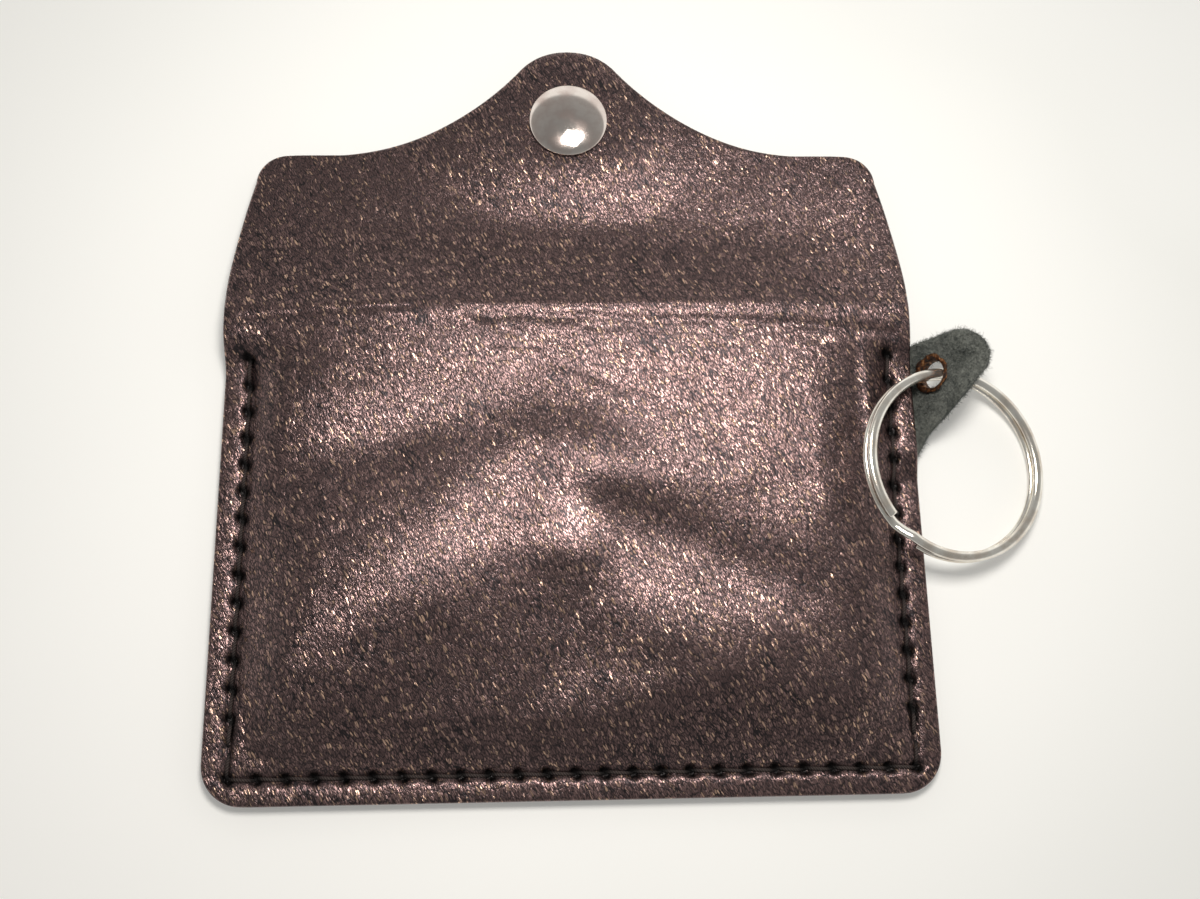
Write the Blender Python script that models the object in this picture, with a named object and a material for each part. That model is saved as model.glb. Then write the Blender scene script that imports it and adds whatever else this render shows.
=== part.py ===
"""Keychain card wallet: a sewn leather pocket with a snap flap and a key ring on a side tab.

Metres, +Z up. The wallet lies face down with its flap open, as it is photographed.
+Y points from the pocket to the flap, and +X to the key ring. The origin is on the flat
outer face of the front panel, on the centre line, SEAT_IN above the bottom edge.
"""

import math

import bmesh
import bpy
import numpy as np
from mathutils import Matrix, Vector

MM = 0.001

# Clearances, between leather sheets and between small metal pieces
FIT = 0.30 * MM
SNUG = 0.20 * MM
OVERRUN = 3.0 * MM

# Leather
LEATHER = 1.0 * MM
SEAT_IN = 9.0 * MM

# Pocket: two panels with one outline
BODY_W = 106.0 * MM
FRONT_H = 68.0 * MM
CORNER_R = 6.0 * MM

# The back panel bellies up inside its sewn edge
PUFF = 4.1 * MM
BELLY_W = 14.0 * MM
BUMP = 0.5 * MM
BUMP_R = 12.0 * MM
MOUTH_BLEND = 5.0 * MM

# Soft folds of the back round the stud, each a long hill over the belly.
# Their middles are given as shares of the half width and of the pocket's height.
LEFT_FOLD_SHARES = (-0.51, 0.46)
LEFT_FOLD_L = 21.0 * MM
LEFT_FOLD_W = 12.0 * MM
LEFT_FOLD_RISE = 2.2 * MM
LEFT_FOLD_TURN = math.radians(33.0)
RIGHT_FOLD_SHARES = (0.21, 0.38)
RIGHT_FOLD_L = 16.0 * MM
RIGHT_FOLD_W = 6.5 * MM
RIGHT_FOLD_RISE = 1.0 * MM
RIGHT_FOLD_TURN = math.radians(-26.0)
TOP_FOLD_SHARES = (0.09, 0.71)
TOP_FOLD_L = 11.0 * MM
TOP_FOLD_W = 5.5 * MM
TOP_FOLD_RISE = 1.6 * MM
TOP_FOLD_TURN = math.radians(-22.0)

# Seam: a groove in each panel, slits through all layers and two threads
SEAM_IN = 3.7 * MM
SEAM_TOP_IN = 2.0 * MM
STITCH = 4.1 * MM
THREAD_D = 0.45 * MM
GROOVE_D = 0.65 * MM
GROOVE_EDGE = 0.15 * MM

# Fold between the pocket and the flap: two hinge lines and the strip between them
HINGE_IN = 2.5 * MM
HINGE_Z = 4.0 * MM
FOLD_L = 5.4 * MM
CREST_IN = 3.2 * MM
CREST_SIDE_Z = 4.3 * MM
CREST_MID_Z = 5.8 * MM
ARCH_FLAT = 26.0 * MM
VALLEY_IN = 6.0 * MM
VALLEY_Z = 2.8 * MM

# Flap outline: leaning sides, round shoulders, hollow curves and a round nose
FLAP_L = 42.9 * MM
SHOULDER_L = 24.0 * MM
SIDE_DRAW = 4.6 * MM
SIDE_CURVE = 1.6
SHOULDER_R = 4.6 * MM
NOSE_R = 10.0 * MM
HOLLOW_R = 41.0 * MM
SNAP_IN = 13.4 * MM
SNAP_FLAT_R = 7.5 * MM
SNAP_LIFT_R = 22.0 * MM

# Snap cap on the flap
CAP_D = 12.5 * MM
CAP_RIM = 0.35 * MM
CAP_DOME = 1.55 * MM
POST_D = 3.0 * MM
POST_BORE = 2.0 * MM
POST_FLARE_D = 4.6 * MM
POST_FLARE_T = 0.25 * MM

# Snap socket under the flap, with its spring
SOCKET_D = 11.6 * MM
SOCKET_BODY_D = 9.2 * MM
SOCKET_H = 3.6 * MM
SOCKET_FLANGE_T = 1.0 * MM
SOCKET_SHOULDER = 0.4 * MM
SOCKET_ROOF = 0.6 * MM
SOCKET_LIP = 0.3 * MM
SPRING_WIRE = 0.6 * MM
SPRING_OPENING = math.radians(40.0)
EDGE_BREAK = 0.2 * MM

# Snap stud on the outside of the front panel
STUD_D = 10.4 * MM
STUD_H = 3.4 * MM
STUD_PLATE_T = 0.8 * MM
STUD_HEAD_D = 5.8 * MM
STUD_NECK_D = 4.6 * MM
STUD_HEAD_H = 0.9 * MM
STUD_WALL = 0.8 * MM
DOME_FLAT_R = 7.8 * MM
DOME_R = 17.0 * MM

# Snap eyelet inside the pocket
EYELET_D = 9.0 * MM
EYELET_T = 0.45 * MM
EYELET_POST_D = 2.4 * MM

# Key tab, sewn between the panels at the right edge, measured from its top corner
TAB_T = 1.0 * MM
TAB_ROOT_L = 6.8 * MM
TAB_TOP_IN = 0.4 * MM
TAB_W = 16.7 * MM
TAB_REACH = 10.4 * MM
TAB_TIP_R = 3.8 * MM
TAB_TIP_IN = 3.4 * MM
TAB_RISE = math.radians(56.0)
TAB_BEND_R = 1.0 * MM
TAB_RAMP_PAST = 1.8 * MM
TAB_BEND_OUT_R = 2.0 * MM
TAB_RAISE_BLEND = 2.5 * MM

# Eyelet in the key tab
TAB_BORE = 4.4 * MM
TAB_EYELET_WALL = 0.25 * MM
TAB_FLANGE_D = 6.1 * MM
TAB_HOLE_IN = 5.6 * MM

# Split ring: two turns of flat wire with rounded edges
RING_D = 30.0 * MM
RING_WIRE_W = 1.5 * MM
RING_WIRE_H = 0.95 * MM
RING_TURN_GAP = 0.42 * MM
RING_WIRE_EDGE = 0.28 * MM
RING_TILT = math.radians(14.0)
RING_HANG = math.radians(8.0)
RING_JOG_AT = math.radians(228.0)
RING_JOG = math.radians(16.0)
RING_END_GAP = math.radians(4.0)

# Facets
CORNER_ROW_SHARES = (0.0, 0.06, 0.2, 0.45)
SHOULDER_ROW_SHARES = (0.45, 0.75, 0.93)
PAST_SHOULDER_SHARE = 0.08
NOSE_ROW_SHARES = (0.25, 0.5, 0.7, 0.85, 0.95, 0.995)
TIP_ROW_SHARES = (0.4, 0.7, 0.88, 0.97, 0.998)
ROUND_SIDES = 20
THREAD_SIDES = 6
RING_STEPS = 72
SPRING_STEPS = 18
DOME_STEPS = 5
SPRING_SIDES = 6
SMOOTH = math.radians(35.0)
RING_SMOOTH = math.radians(50.0)

# Worked out from the sizes above
HALF_W = BODY_W / 2
SEAM_X = HALF_W - SEAM_IN
SEAM_TOP = FRONT_H - SEAM_TOP_IN
SEWN_Z = LEATHER + FIT
TAB_RAISE_Z = TAB_T + FIT
THREAD_SIDE = (THREAD_D + SNUG) / 2
GROOVE_HALF = THREAD_SIDE + THREAD_D / 2 + SNUG + GROOVE_EDGE
BELLY_IN = SEAM_IN + GROOVE_HALF + GROOVE_EDGE
BELLY_X = HALF_W - BELLY_IN
TAB_IN_X = HALF_W - TAB_ROOT_L - FIT
THREAD_Z = GROOVE_D - SNUG - THREAD_D / 2
HINGE_Y = FRONT_H + HINGE_IN
TAB_HIGH = FRONT_H - TAB_TOP_IN
TAB_LOW = TAB_HIGH - TAB_W
TAB_TIP_Y = TAB_HIGH - TAB_TIP_IN
TAB_HOLE_Y = TAB_HIGH - TAB_HOLE_IN
PLATE_Z = STUD_H - STUD_PLATE_T
MEET_Z = PLATE_Z - FIT
HINGE2_Y = HINGE_Y + FOLD_L
HINGE2_Z = MEET_Z + FOLD_L - HINGE_Z
VALLEY_Y = HINGE2_Y + VALLEY_IN
NOSE_Y = HINGE2_Y + FLAP_L
SHOULDER_Y = HINGE2_Y + SHOULDER_L
SNAP_Y = NOSE_Y - SNAP_IN
SNAP_Z = SOCKET_H + FIT
STUD_Y = HINGE_Y + HINGE2_Y + HINGE2_Z - HINGE_Z - SNAP_Y
DOME_Z = STUD_H + FIT
RING_R = (RING_D - RING_WIRE_W) / 2
RING_PITCH = RING_WIRE_H + RING_TURN_GAP
RING_HALF_H = RING_PITCH / 2 + RING_WIRE_H / 2
RING_LOW = RING_HALF_H * math.cos(RING_TILT) + RING_WIRE_W / 2 * math.sin(RING_TILT)
TAB_HOLE_Z = RING_LOW + RING_R * math.sin(RING_TILT) * (1 + math.sin(RING_HANG))


def spot(x, y, z):
    """A point in the part's frame, from its place measured from the bottom edge."""
    return Vector((x, y - SEAT_IN, z))


def ease(share):
    """Smooth step: 0 up to share 0, 1 from share 1."""
    share = min(max(share, 0.0), 1.0)
    return share * share * (3.0 - 2.0 * share)


def spread(start, end, count):
    """Evenly spaced values from start to end, both included."""
    return [start + (end - start) * i / count for i in range(count + 1)]


def join_runs(*runs):
    """One rising list from runs that share their end values."""
    values = []
    for run in runs:
        values.extend(run if not values else run[1:])
    return values


def mirrored(values):
    """The values below zero, zero and above, from a list that starts at zero."""
    return [-value for value in reversed(values[1:])] + values


# Heights of the leather

def back_under(x, y):
    """Height of the back panel's lower face."""
    side = min(max((BELLY_X - abs(x)) / BELLY_W, 0.0), 1.0)
    low = min(max((y - BELLY_IN) / BELLY_W, 0.0), 1.0)
    full = ease(1.0 - math.hypot(1.0 - side, 1.0 - low))
    belly = (PUFF + folds(x, y)) * full
    bump = BUMP * ease(1.0 - math.hypot(x, y - STUD_Y) / BUMP_R)
    tab = TAB_RAISE_Z * tab_zone(x, y) * (1.0 - full)
    pocket = SEWN_Z + belly + bump + tab
    mouth = FRONT_H - MOUTH_BLEND
    return pocket + (crest(x) - pocket) * ease((y - mouth) / (HINGE_Y - mouth))


def folds(x, y):
    """Height of the soft folds above the plain belly."""
    left = (LEFT_FOLD_SHARES, LEFT_FOLD_TURN, LEFT_FOLD_L, LEFT_FOLD_W, LEFT_FOLD_RISE)
    right = (RIGHT_FOLD_SHARES, RIGHT_FOLD_TURN, RIGHT_FOLD_L, RIGHT_FOLD_W, RIGHT_FOLD_RISE)
    top = (TOP_FOLD_SHARES, TOP_FOLD_TURN, TOP_FOLD_L, TOP_FOLD_W, TOP_FOLD_RISE)
    total = 0.0
    for (x_share, y_share), turn, length, width, rise in (left, right, top):
        from_x = x - x_share * HALF_W
        from_y = y - y_share * FRONT_H
        along = from_x * math.cos(turn) + from_y * math.sin(turn)
        across = from_y * math.cos(turn) - from_x * math.sin(turn)
        total += rise * math.exp(-(along / length)**2 - (across / width)**2)
    return total


def tab_zone(x, y):
    """1 over the key tab's root, easing to 0 around it."""
    across = ease((x - TAB_IN_X + TAB_RAISE_BLEND) / TAB_RAISE_BLEND)
    below = ease((y - TAB_LOW + FIT + TAB_RAISE_BLEND) / TAB_RAISE_BLEND)
    above = ease((TAB_HIGH + FIT + TAB_RAISE_BLEND - y) / TAB_RAISE_BLEND)
    return across * below * above


def crest(x):
    """Height of the leather's lower face along the fold, arched in the middle."""
    arch = ease((HALF_W - abs(x)) / (HALF_W - ARCH_FLAT))
    return CREST_SIDE_Z + (CREST_MID_Z - CREST_SIDE_Z) * arch


def flap_under(x, y):
    """Height of the lower face of the fold strip and the flap."""
    top = HINGE_Y + CREST_IN
    fold = (crest(x) - VALLEY_Z) * (1.0 - ease((y - top) / (VALLEY_Y - top)))
    reach = math.hypot(x, y - SNAP_Y)
    share = (SNAP_LIFT_R - reach) / (SNAP_LIFT_R - SNAP_FLAT_R)
    return VALLEY_Z + fold + (SNAP_Z - VALLEY_Z) * ease(share)


def front_under(x, y):
    """Height of the front panel's lower face: flat, with a dome over the stud."""
    reach = math.hypot(x, y - STUD_Y)
    return DOME_Z * ease((DOME_R - reach) / (DOME_R - DOME_FLAT_R))


# Outlines

def pocket_half(y):
    """Half width of the pocket, with round bottom corners."""
    if y >= CORNER_R:
        return HALF_W
    return HALF_W - CORNER_R + math.sqrt(CORNER_R**2 - (CORNER_R - y)**2)


def flap_side(y):
    """Half width along the flap's leaning side."""
    share = max(0.0, (y - HINGE2_Y) / SHOULDER_L)
    return HALF_W - SIDE_DRAW * share**SIDE_CURVE


def flap_half(y):
    """Half width of the flap: side, shoulder, hollow curve, nose."""
    corner_y = SHOULDER_Y - SHOULDER_R
    if y <= corner_y:
        return flap_side(y)
    if y <= SHOULDER_Y:
        centre = flap_side(corner_y) - SHOULDER_R
        return centre + math.sqrt(SHOULDER_R**2 - (y - corner_y)**2)
    nose_centre = NOSE_Y - NOSE_R
    rise = HOLLOW_R + SHOULDER_Y - nose_centre
    hollow_x = math.sqrt((HOLLOW_R + NOSE_R)**2 - rise**2)
    meet_y = nose_centre + NOSE_R * rise / (HOLLOW_R + NOSE_R)
    if y <= meet_y:
        return hollow_x - math.sqrt(HOLLOW_R**2 - (SHOULDER_Y + HOLLOW_R - y)**2)
    return math.sqrt(max(NOSE_R**2 - (y - nose_centre)**2, 0.0))


def tab_edges(x):
    """Low and high edge of the key tab at x: two straight edges into a round tip."""
    tip_x = HALF_W + TAB_REACH - TAB_TIP_R
    edges = []
    for start_y, side in ((TAB_LOW, -1.0), (TAB_HIGH, 1.0)):
        run_x = tip_x - HALF_W
        run_y = (TAB_TIP_Y - start_y) * side
        reach = math.hypot(run_x, run_y)
        slope = math.atan2(run_y, run_x) + math.asin(TAB_TIP_R / reach)
        touch_x = tip_x - TAB_TIP_R * math.sin(slope)
        if x <= touch_x:
            edges.append(start_y + side * (x - HALF_W) * math.tan(slope))
        else:
            drop = math.sqrt(max(TAB_TIP_R**2 - (x - tip_x)**2, 0.0))
            edges.append(TAB_TIP_Y + side * drop)
    return edges


# Building blocks

def material(name, colour, roughness, metallic):
    """A plain material with a colour, roughness and metallic value."""
    made = bpy.data.materials.new(name)
    made.use_nodes = True
    shader = made.node_tree.nodes["Principled BSDF"]
    shader.inputs["Base Color"].default_value = (*colour, 1.0)
    shader.inputs["Roughness"].default_value = roughness
    shader.inputs["Metallic"].default_value = metallic
    made.diffuse_color = (*colour, 1.0)
    return made


def add_axis(name, place, carrier=None):
    """An empty on a joint's axis, carried by the axis before it."""
    axis = bpy.data.objects.new(name, None)
    bpy.context.collection.objects.link(axis)
    axis.location = place
    if carrier is not None:
        axis.parent = carrier
        axis.location = place - world_place(carrier)
    return axis


def world_place(axis):
    """Place of an empty in the part's frame."""
    place = axis.location.copy()
    while axis.parent is not None:
        axis = axis.parent
        place += axis.location
    return place


def add_piece(name, points, faces, finish, axis=None, smooth=SMOOTH):
    """An object from points in the part's frame, with its origin on its joint's axis."""
    home = world_place(axis) if axis is not None else Vector()
    mesh = bpy.data.meshes.new(name)
    mesh.from_pydata([Vector(point) - home for point in points], [], faces)
    shell = bmesh.new()
    shell.from_mesh(mesh)
    bmesh.ops.recalc_face_normals(shell, faces=shell.faces)
    shell.to_mesh(mesh)
    shell.free()
    mesh.shade_smooth()
    mesh.set_sharp_from_angle(angle=smooth)
    made = bpy.data.objects.new(name, mesh)
    bpy.context.collection.objects.link(made)
    if finish is not None:
        mesh.materials.append(finish)
    if axis is not None:
        made.parent = axis
    return made


def add_cutter(name, points, faces):
    """A hidden shape that others are cut with."""
    made = add_piece(name, points, faces, None)
    made.hide_render = True
    made.display_type = 'WIRE'
    return made


def cut(piece, cutter):
    """Take the cutter's shape out of the piece."""
    step = piece.modifiers.new("cut " + cutter.name, 'BOOLEAN')
    step.operation = 'DIFFERENCE'
    step.solver = 'EXACT'
    step.object = cutter


def closed_grid(upper, lower):
    """Points and faces of a closed sheet from two equal grids of points, row by row."""
    rows = len(upper)
    columns = len(upper[0])
    points = [point for row in upper for point in row]
    points += [point for row in lower for point in row]
    half = rows * columns
    faces = []
    for row in range(rows - 1):
        for column in range(columns - 1):
            at = row * columns + column
            top = (at, at + 1, at + columns + 1, at + columns)
            faces.append(top)
            faces.append(tuple(half + corner for corner in reversed(top)))
    rim = [column for column in range(columns)]
    rim += [row * columns + columns - 1 for row in range(1, rows)]
    rim += [(rows - 1) * columns + column for column in range(columns - 2, -1, -1)]
    rim += [row * columns for row in range(rows - 2, 0, -1)]
    for here, after in zip(rim, rim[1:] + rim[:1]):
        faces.append((here, half + here, half + after, after))
    return points, faces


def leather_sheet(name, across, along, half, under, finish, axis=None):
    """A leather sheet over a grid: shares of the half width across, heights along."""
    lower = []
    upper = []
    for y in along:
        places = [(share * half(y), y) for share in across]
        lower.append([spot(x, y, under(x, y)) for x, y in places])
        upper.append([spot(x, y, under(x, y) + LEATHER) for x, y in places])
    points, faces = closed_grid(upper, lower)
    made = add_piece(name, points, faces, finish, axis)
    flatten_faces(made)
    return made


def flatten_faces(made):
    """Split bent four-sided faces into flat triangles, so that later cuts stay clean."""
    shell = bmesh.new()
    shell.from_mesh(made.data)
    bmesh.ops.triangulate(shell, faces=shell.faces)
    shell.to_mesh(made.data)
    shell.free()


def turned(name, profile, centre, finish, axis=None, sides=ROUND_SIDES):
    """A turned piece on a vertical axis, from (radius, height) points of its outline."""
    points = []
    rings = []
    for radius, height in profile:
        if radius == 0.0:
            rings.append([len(points)] * sides)
            points.append(centre + Vector((0.0, 0.0, height)))
            continue
        rings.append([len(points) + side for side in range(sides)])
        for side in range(sides):
            turn = 2 * math.pi * side / sides
            arm = Vector((radius * math.cos(turn), radius * math.sin(turn), height))
            points.append(centre + arm)
    faces = []
    closed = profile[0][0] != 0.0
    last = len(rings) if closed else len(rings) - 1
    for ring in range(last):
        here = rings[ring]
        after = rings[(ring + 1) % len(rings)]
        for side in range(sides):
            beside = (side + 1) % sides
            corners = (here[side], here[beside], after[beside], after[side])
            faces.append(tuple(dict.fromkeys(corners)))
    return add_piece(name, points, faces, finish, axis)


def swept(sections):
    """Points and faces of a solid through a list of closed sections, with flat ends."""
    points = [point for section in sections for point in section]
    count = len(sections[0])
    faces = [tuple(range(count))]
    for step in range(len(sections) - 1):
        for corner in range(count):
            beside = (corner + 1) % count
            low = step * count
            high = low + count
            faces.append((low + corner, low + beside, high + beside, high + corner))
    start = (len(sections) - 1) * count
    faces.append(tuple(start + corner for corner in reversed(range(count))))
    return points, faces


def tube_sections(route, radius, sides):
    """Round sections along a route of points, mitred where it turns."""
    sections = []
    side_way = (route[1] - route[0]).orthogonal().normalized()
    for step, point in enumerate(route):
        ahead = route[min(step + 1, len(route) - 1)] - point
        behind = point - route[max(step - 1, 0)]
        way_in = (behind if step > 0 else ahead).normalized()
        way_out = (ahead if step < len(route) - 1 else behind).normalized()
        plane = (way_in + way_out).normalized()
        other = way_in.cross(side_way)
        section = []
        for side in range(sides):
            turn = 2 * math.pi * (side + 0.5) / sides
            arm = (side_way * math.cos(turn) + other * math.sin(turn)) * radius
            section.append(point + arm - way_in * (arm.dot(plane) / way_in.dot(plane)))
        sections.append(section)
        side_way = way_in.rotation_difference(way_out) @ side_way
    return sections


# Seam

def stitch_holes():
    """Each stitch hole as its place, the way along the seam and the way into the pocket."""
    side_count = round((SEAM_TOP - SEAM_IN) / STITCH)
    low_count = round(2 * SEAM_X / STITCH)
    holes = []
    for y in reversed(spread(SEAM_IN, SEAM_TOP, side_count)[1:]):
        holes.append((Vector((-SEAM_X, y)), Vector((0, -1)), Vector((1, 0))))
    for number, x in enumerate(spread(-SEAM_X, SEAM_X, low_count)):
        inward = Vector((0, 1))
        along = Vector((1, 0))
        if number == 0:
            inward = Vector((1, 1))
            along = Vector((1, -1)).normalized()
        if number == low_count:
            inward = Vector((-1, 1))
            along = Vector((1, 1)).normalized()
        holes.append((Vector((x, SEAM_IN)), along, inward))
    for y in spread(SEAM_IN, SEAM_TOP, side_count)[1:]:
        holes.append((Vector((SEAM_X, y)), Vector((0, 1)), Vector((-1, 0))))
    return holes


def thread_route(holes, side, first_on_top):
    """A thread's route: along one face, through a slit, along the other face."""
    route = []
    for number, (place, _, inward) in enumerate(holes):
        at = place + inward * side * THREAD_SIDE
        low = spot(at.x, at.y, THREAD_Z)
        high = spot(at.x, at.y, back_under(*place) + LEATHER - THREAD_Z)
        leaves_on_top = (number % 2 == 0) == first_on_top
        route += [low, high] if leaves_on_top else [high, low]
    return route


def groove_cutter(name, holes, floor, roof):
    """A channel along the seam, between two height functions of a place."""
    stops = [(place, inward) for place, _, inward in holes]
    first, last = holes[0], holes[-1]
    stops.insert(0, (first[0] - first[1] * GROOVE_HALF, first[2]))
    stops.append((last[0] + last[1] * GROOVE_HALF, last[2]))
    sections = []
    for place, inward in stops:
        outer = place - inward * GROOVE_HALF
        inner = place + inward * GROOVE_HALF
        low, high = floor(place), roof(place)
        section = [spot(outer.x, outer.y, low), spot(inner.x, inner.y, low)]
        section += [spot(inner.x, inner.y, high), spot(outer.x, outer.y, high)]
        sections.append(section)
    return add_cutter(name, *swept(sections))


def slit_cutter(name, holes):
    """A slit through all layers at each hole, set across the seam."""
    points = []
    faces = []
    half_slit = THREAD_D / 2 + SNUG
    for place, along, inward in holes:
        across = inward * THREAD_SIDE + inward.normalized() * half_slit
        ahead = along * half_slit
        corners = (place - across - ahead, place + across - ahead,
                   place + across + ahead, place - across + ahead)
        top = back_under(*place) + LEATHER + OVERRUN
        sections = [[spot(c.x, c.y, z) for c in corners] for z in (-OVERRUN, top)]
        box_points, box_faces = swept(sections)
        start = len(points)
        points += box_points
        faces += [tuple(start + corner for corner in face) for face in box_faces]
    return add_cutter(name, points, faces)


# Pieces

def pocket_columns():
    """Columns of the back panel, closer on the belly's slopes, as shares of half width."""
    slope_x = BELLY_X - BELLY_W
    places = join_runs(spread(0.0, slope_x, 6), spread(slope_x, TAB_IN_X - TAB_RAISE_BLEND, 2))
    places += [TAB_IN_X, BELLY_X, HALF_W]
    return mirrored([place / HALF_W for place in places])


def build_back(finish, holes, slits):
    """The back panel: sewn edge, belly, raised over the key tab, open at the mouth."""
    belly_y = BELLY_IN + BELLY_W
    mouth = FRONT_H - MOUTH_BLEND
    rows = [CORNER_R * share for share in CORNER_ROW_SHARES]
    rows += join_runs(spread(BELLY_IN, belly_y, 4), spread(belly_y, STUD_Y, 5),
                      spread(STUD_Y, TAB_LOW - FIT - TAB_RAISE_BLEND, 2))
    rows += join_runs(spread(TAB_LOW - FIT, mouth, 2), spread(mouth, HINGE_Y - FIT / 2, 3))
    piece = leather_sheet("back_panel", pocket_columns(), rows, pocket_half, back_under, finish)
    groove = groove_cutter("back groove", holes,
                           lambda place: back_under(*place) + LEATHER - GROOVE_D,
                           lambda place: back_under(*place) + LEATHER + OVERRUN)
    cut(piece, groove)
    cut(piece, slits)
    return piece


def build_front(finish, holes, slits):
    """The front panel: flat on the table, domed over the snap stud."""
    dome = join_runs(spread(0.0, DOME_FLAT_R, 2), spread(DOME_FLAT_R, DOME_R, 3))
    columns = mirrored([place / HALF_W for place in dome + [HALF_W]])
    rows = [CORNER_R * share for share in CORNER_ROW_SHARES]
    rows += [CORNER_R] + [STUD_Y + place for place in mirrored(dome)] + [FRONT_H]
    piece = leather_sheet("front_panel", columns, rows, pocket_half, front_under, finish)
    groove = groove_cutter("front groove", holes,
                           lambda place: -OVERRUN, lambda place: GROOVE_D)
    cut(piece, groove)
    cut(piece, slits)
    hole = post_hole("stud hole", STUD_Y, EYELET_POST_D)
    cut(piece, hole)
    return piece


def post_hole(name, y, post_d):
    """A punched hole through the leather for a snap's post."""
    radius = post_d / 2 + FIT
    sections = []
    for z in (-OVERRUN, DOME_Z + OVERRUN + LEATHER):
        turns = [2 * math.pi * side / ROUND_SIDES for side in range(ROUND_SIDES)]
        section = [spot(radius * math.cos(t), y + radius * math.sin(t), z) for t in turns]
        sections.append(section)
    return add_cutter(name, *swept(sections))


def build_fold(finish, axis):
    """The strip of leather that bends between the pocket and the flap."""
    rows = join_runs([HINGE_Y + FIT / 2, HINGE_Y + CREST_IN],
                     spread(HINGE_Y + CREST_IN, HINGE2_Y - FIT / 2, 2))
    columns = mirrored(spread(0.0, 1.0, 8))
    return leather_sheet("fold_strip", columns, rows, lambda y: HALF_W, flap_under, finish, axis)


def build_flap(finish, axis):
    """The flap, from the fold to its nose, with the snap's hole."""
    corner_y = SHOULDER_Y - SHOULDER_R
    nose_centre = NOSE_Y - NOSE_R
    rows = join_runs([HINGE2_Y + FIT / 2, VALLEY_Y - VALLEY_IN / 2, VALLEY_Y],
                     spread(VALLEY_Y, corner_y, 3))
    rows += [corner_y + SHOULDER_R * share for share in SHOULDER_ROW_SHARES]
    rows += spread(SHOULDER_Y + SHOULDER_R * PAST_SHOULDER_SHARE, nose_centre, 5)
    rows += [nose_centre + NOSE_R * share for share in NOSE_ROW_SHARES]
    columns = mirrored(spread(0.0, 1.0, 8))
    piece = leather_sheet("flap", columns, rows, flap_half, flap_under, finish, axis)
    cut(piece, post_hole("cap hole", SNAP_Y, POST_D))
    return piece


def build_cap(finish, axis):
    """The snap cap: a dome with a hollow post, flared inside the socket."""
    seat = SNAP_Z + LEATHER + SNUG
    rim = seat + CAP_RIM
    flare = SOCKET_H - SOCKET_ROOF - SNUG
    profile = []
    for turn in reversed(spread(0.0, math.pi / 2, DOME_STEPS)):
        radius = CAP_D / 2 * math.cos(turn) if turn < math.pi / 2 else 0.0
        profile.append((radius, rim + CAP_DOME * math.sin(turn)))
    profile += [(CAP_D / 2 - CAP_RIM / 2, seat), (POST_D / 2, seat)]
    profile += [(POST_D / 2, flare), (POST_FLARE_D / 2, flare)]
    profile += [(POST_FLARE_D / 2, flare - POST_FLARE_T), (POST_BORE / 2, flare - POST_FLARE_T)]
    profile += [(POST_BORE / 2, SNAP_Z), (0.0, SNAP_Z)]
    return turned_on("snap_cap", profile, SNAP_Y, finish, axis)


def turned_on(name, profile, y, finish, axis=None):
    """A turned piece on the centre line, y above the bottom edge."""
    return turned(name, profile, spot(0.0, y, 0.0), finish, axis)


def build_socket(finish, axis):
    """The snap socket: a hollow body that the stud enters, with a flange on the leather."""
    head_r = STUD_HEAD_D / 2
    lip_r = head_r + FIT
    cavity_r = STUD_NECK_D / 2 + FIT + SPRING_WIRE + SNUG
    body_r = SOCKET_BODY_D / 2
    flange_r = SOCKET_D / 2
    flange_z = SOCKET_H - SOCKET_FLANGE_T
    roof_z = SOCKET_H - SOCKET_ROOF
    post_r = POST_D / 2 + FIT
    profile = [(lip_r, 0.0), (body_r - EDGE_BREAK, 0.0), (body_r, EDGE_BREAK)]
    profile += [(body_r, flange_z - SOCKET_SHOULDER), (flange_r, flange_z)]
    profile += [(flange_r, SOCKET_H - EDGE_BREAK), (flange_r - EDGE_BREAK, SOCKET_H)]
    profile += [(post_r, SOCKET_H), (post_r, roof_z), (cavity_r, roof_z)]
    profile += [(cavity_r, SOCKET_LIP), (lip_r, SOCKET_LIP)]
    return turned_on("snap_socket", profile, SNAP_Y, finish, axis)


def build_spring(finish, axis):
    """The split wire ring that grips the stud's neck inside the socket."""
    radius = STUD_NECK_D / 2 + FIT + SPRING_WIRE / 2
    height = SOCKET_LIP + SNUG + SPRING_WIRE / 2
    route = []
    for turn in spread(SPRING_OPENING / 2, 2 * math.pi - SPRING_OPENING / 2, SPRING_STEPS):
        route.append(spot(radius * math.cos(turn), SNAP_Y + radius * math.sin(turn), height))
    sections = tube_sections(route, SPRING_WIRE / 2, SPRING_SIDES)
    return add_piece("socket_spring", *swept(sections), finish, axis)


def build_stud(finish):
    """The snap stud: a plate under the leather and a hollow head with a necked side."""
    head_r = STUD_HEAD_D / 2
    neck_r = STUD_NECK_D / 2
    bore_r = neck_r - STUD_WALL
    plate_r = STUD_D / 2
    profile = [(0.0, 0.0), (head_r - 2 * EDGE_BREAK, 0.0), (head_r, EDGE_BREAK)]
    profile += [(head_r, STUD_HEAD_H), (neck_r, STUD_HEAD_H + EDGE_BREAK)]
    profile += [(neck_r, PLATE_Z), (plate_r, PLATE_Z), (plate_r, STUD_H - EDGE_BREAK)]
    profile += [(plate_r - EDGE_BREAK, STUD_H), (bore_r, STUD_H)]
    profile += [(bore_r, STUD_WALL), (0.0, STUD_WALL)]
    return turned_on("snap_stud", profile, STUD_Y, finish)


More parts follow.
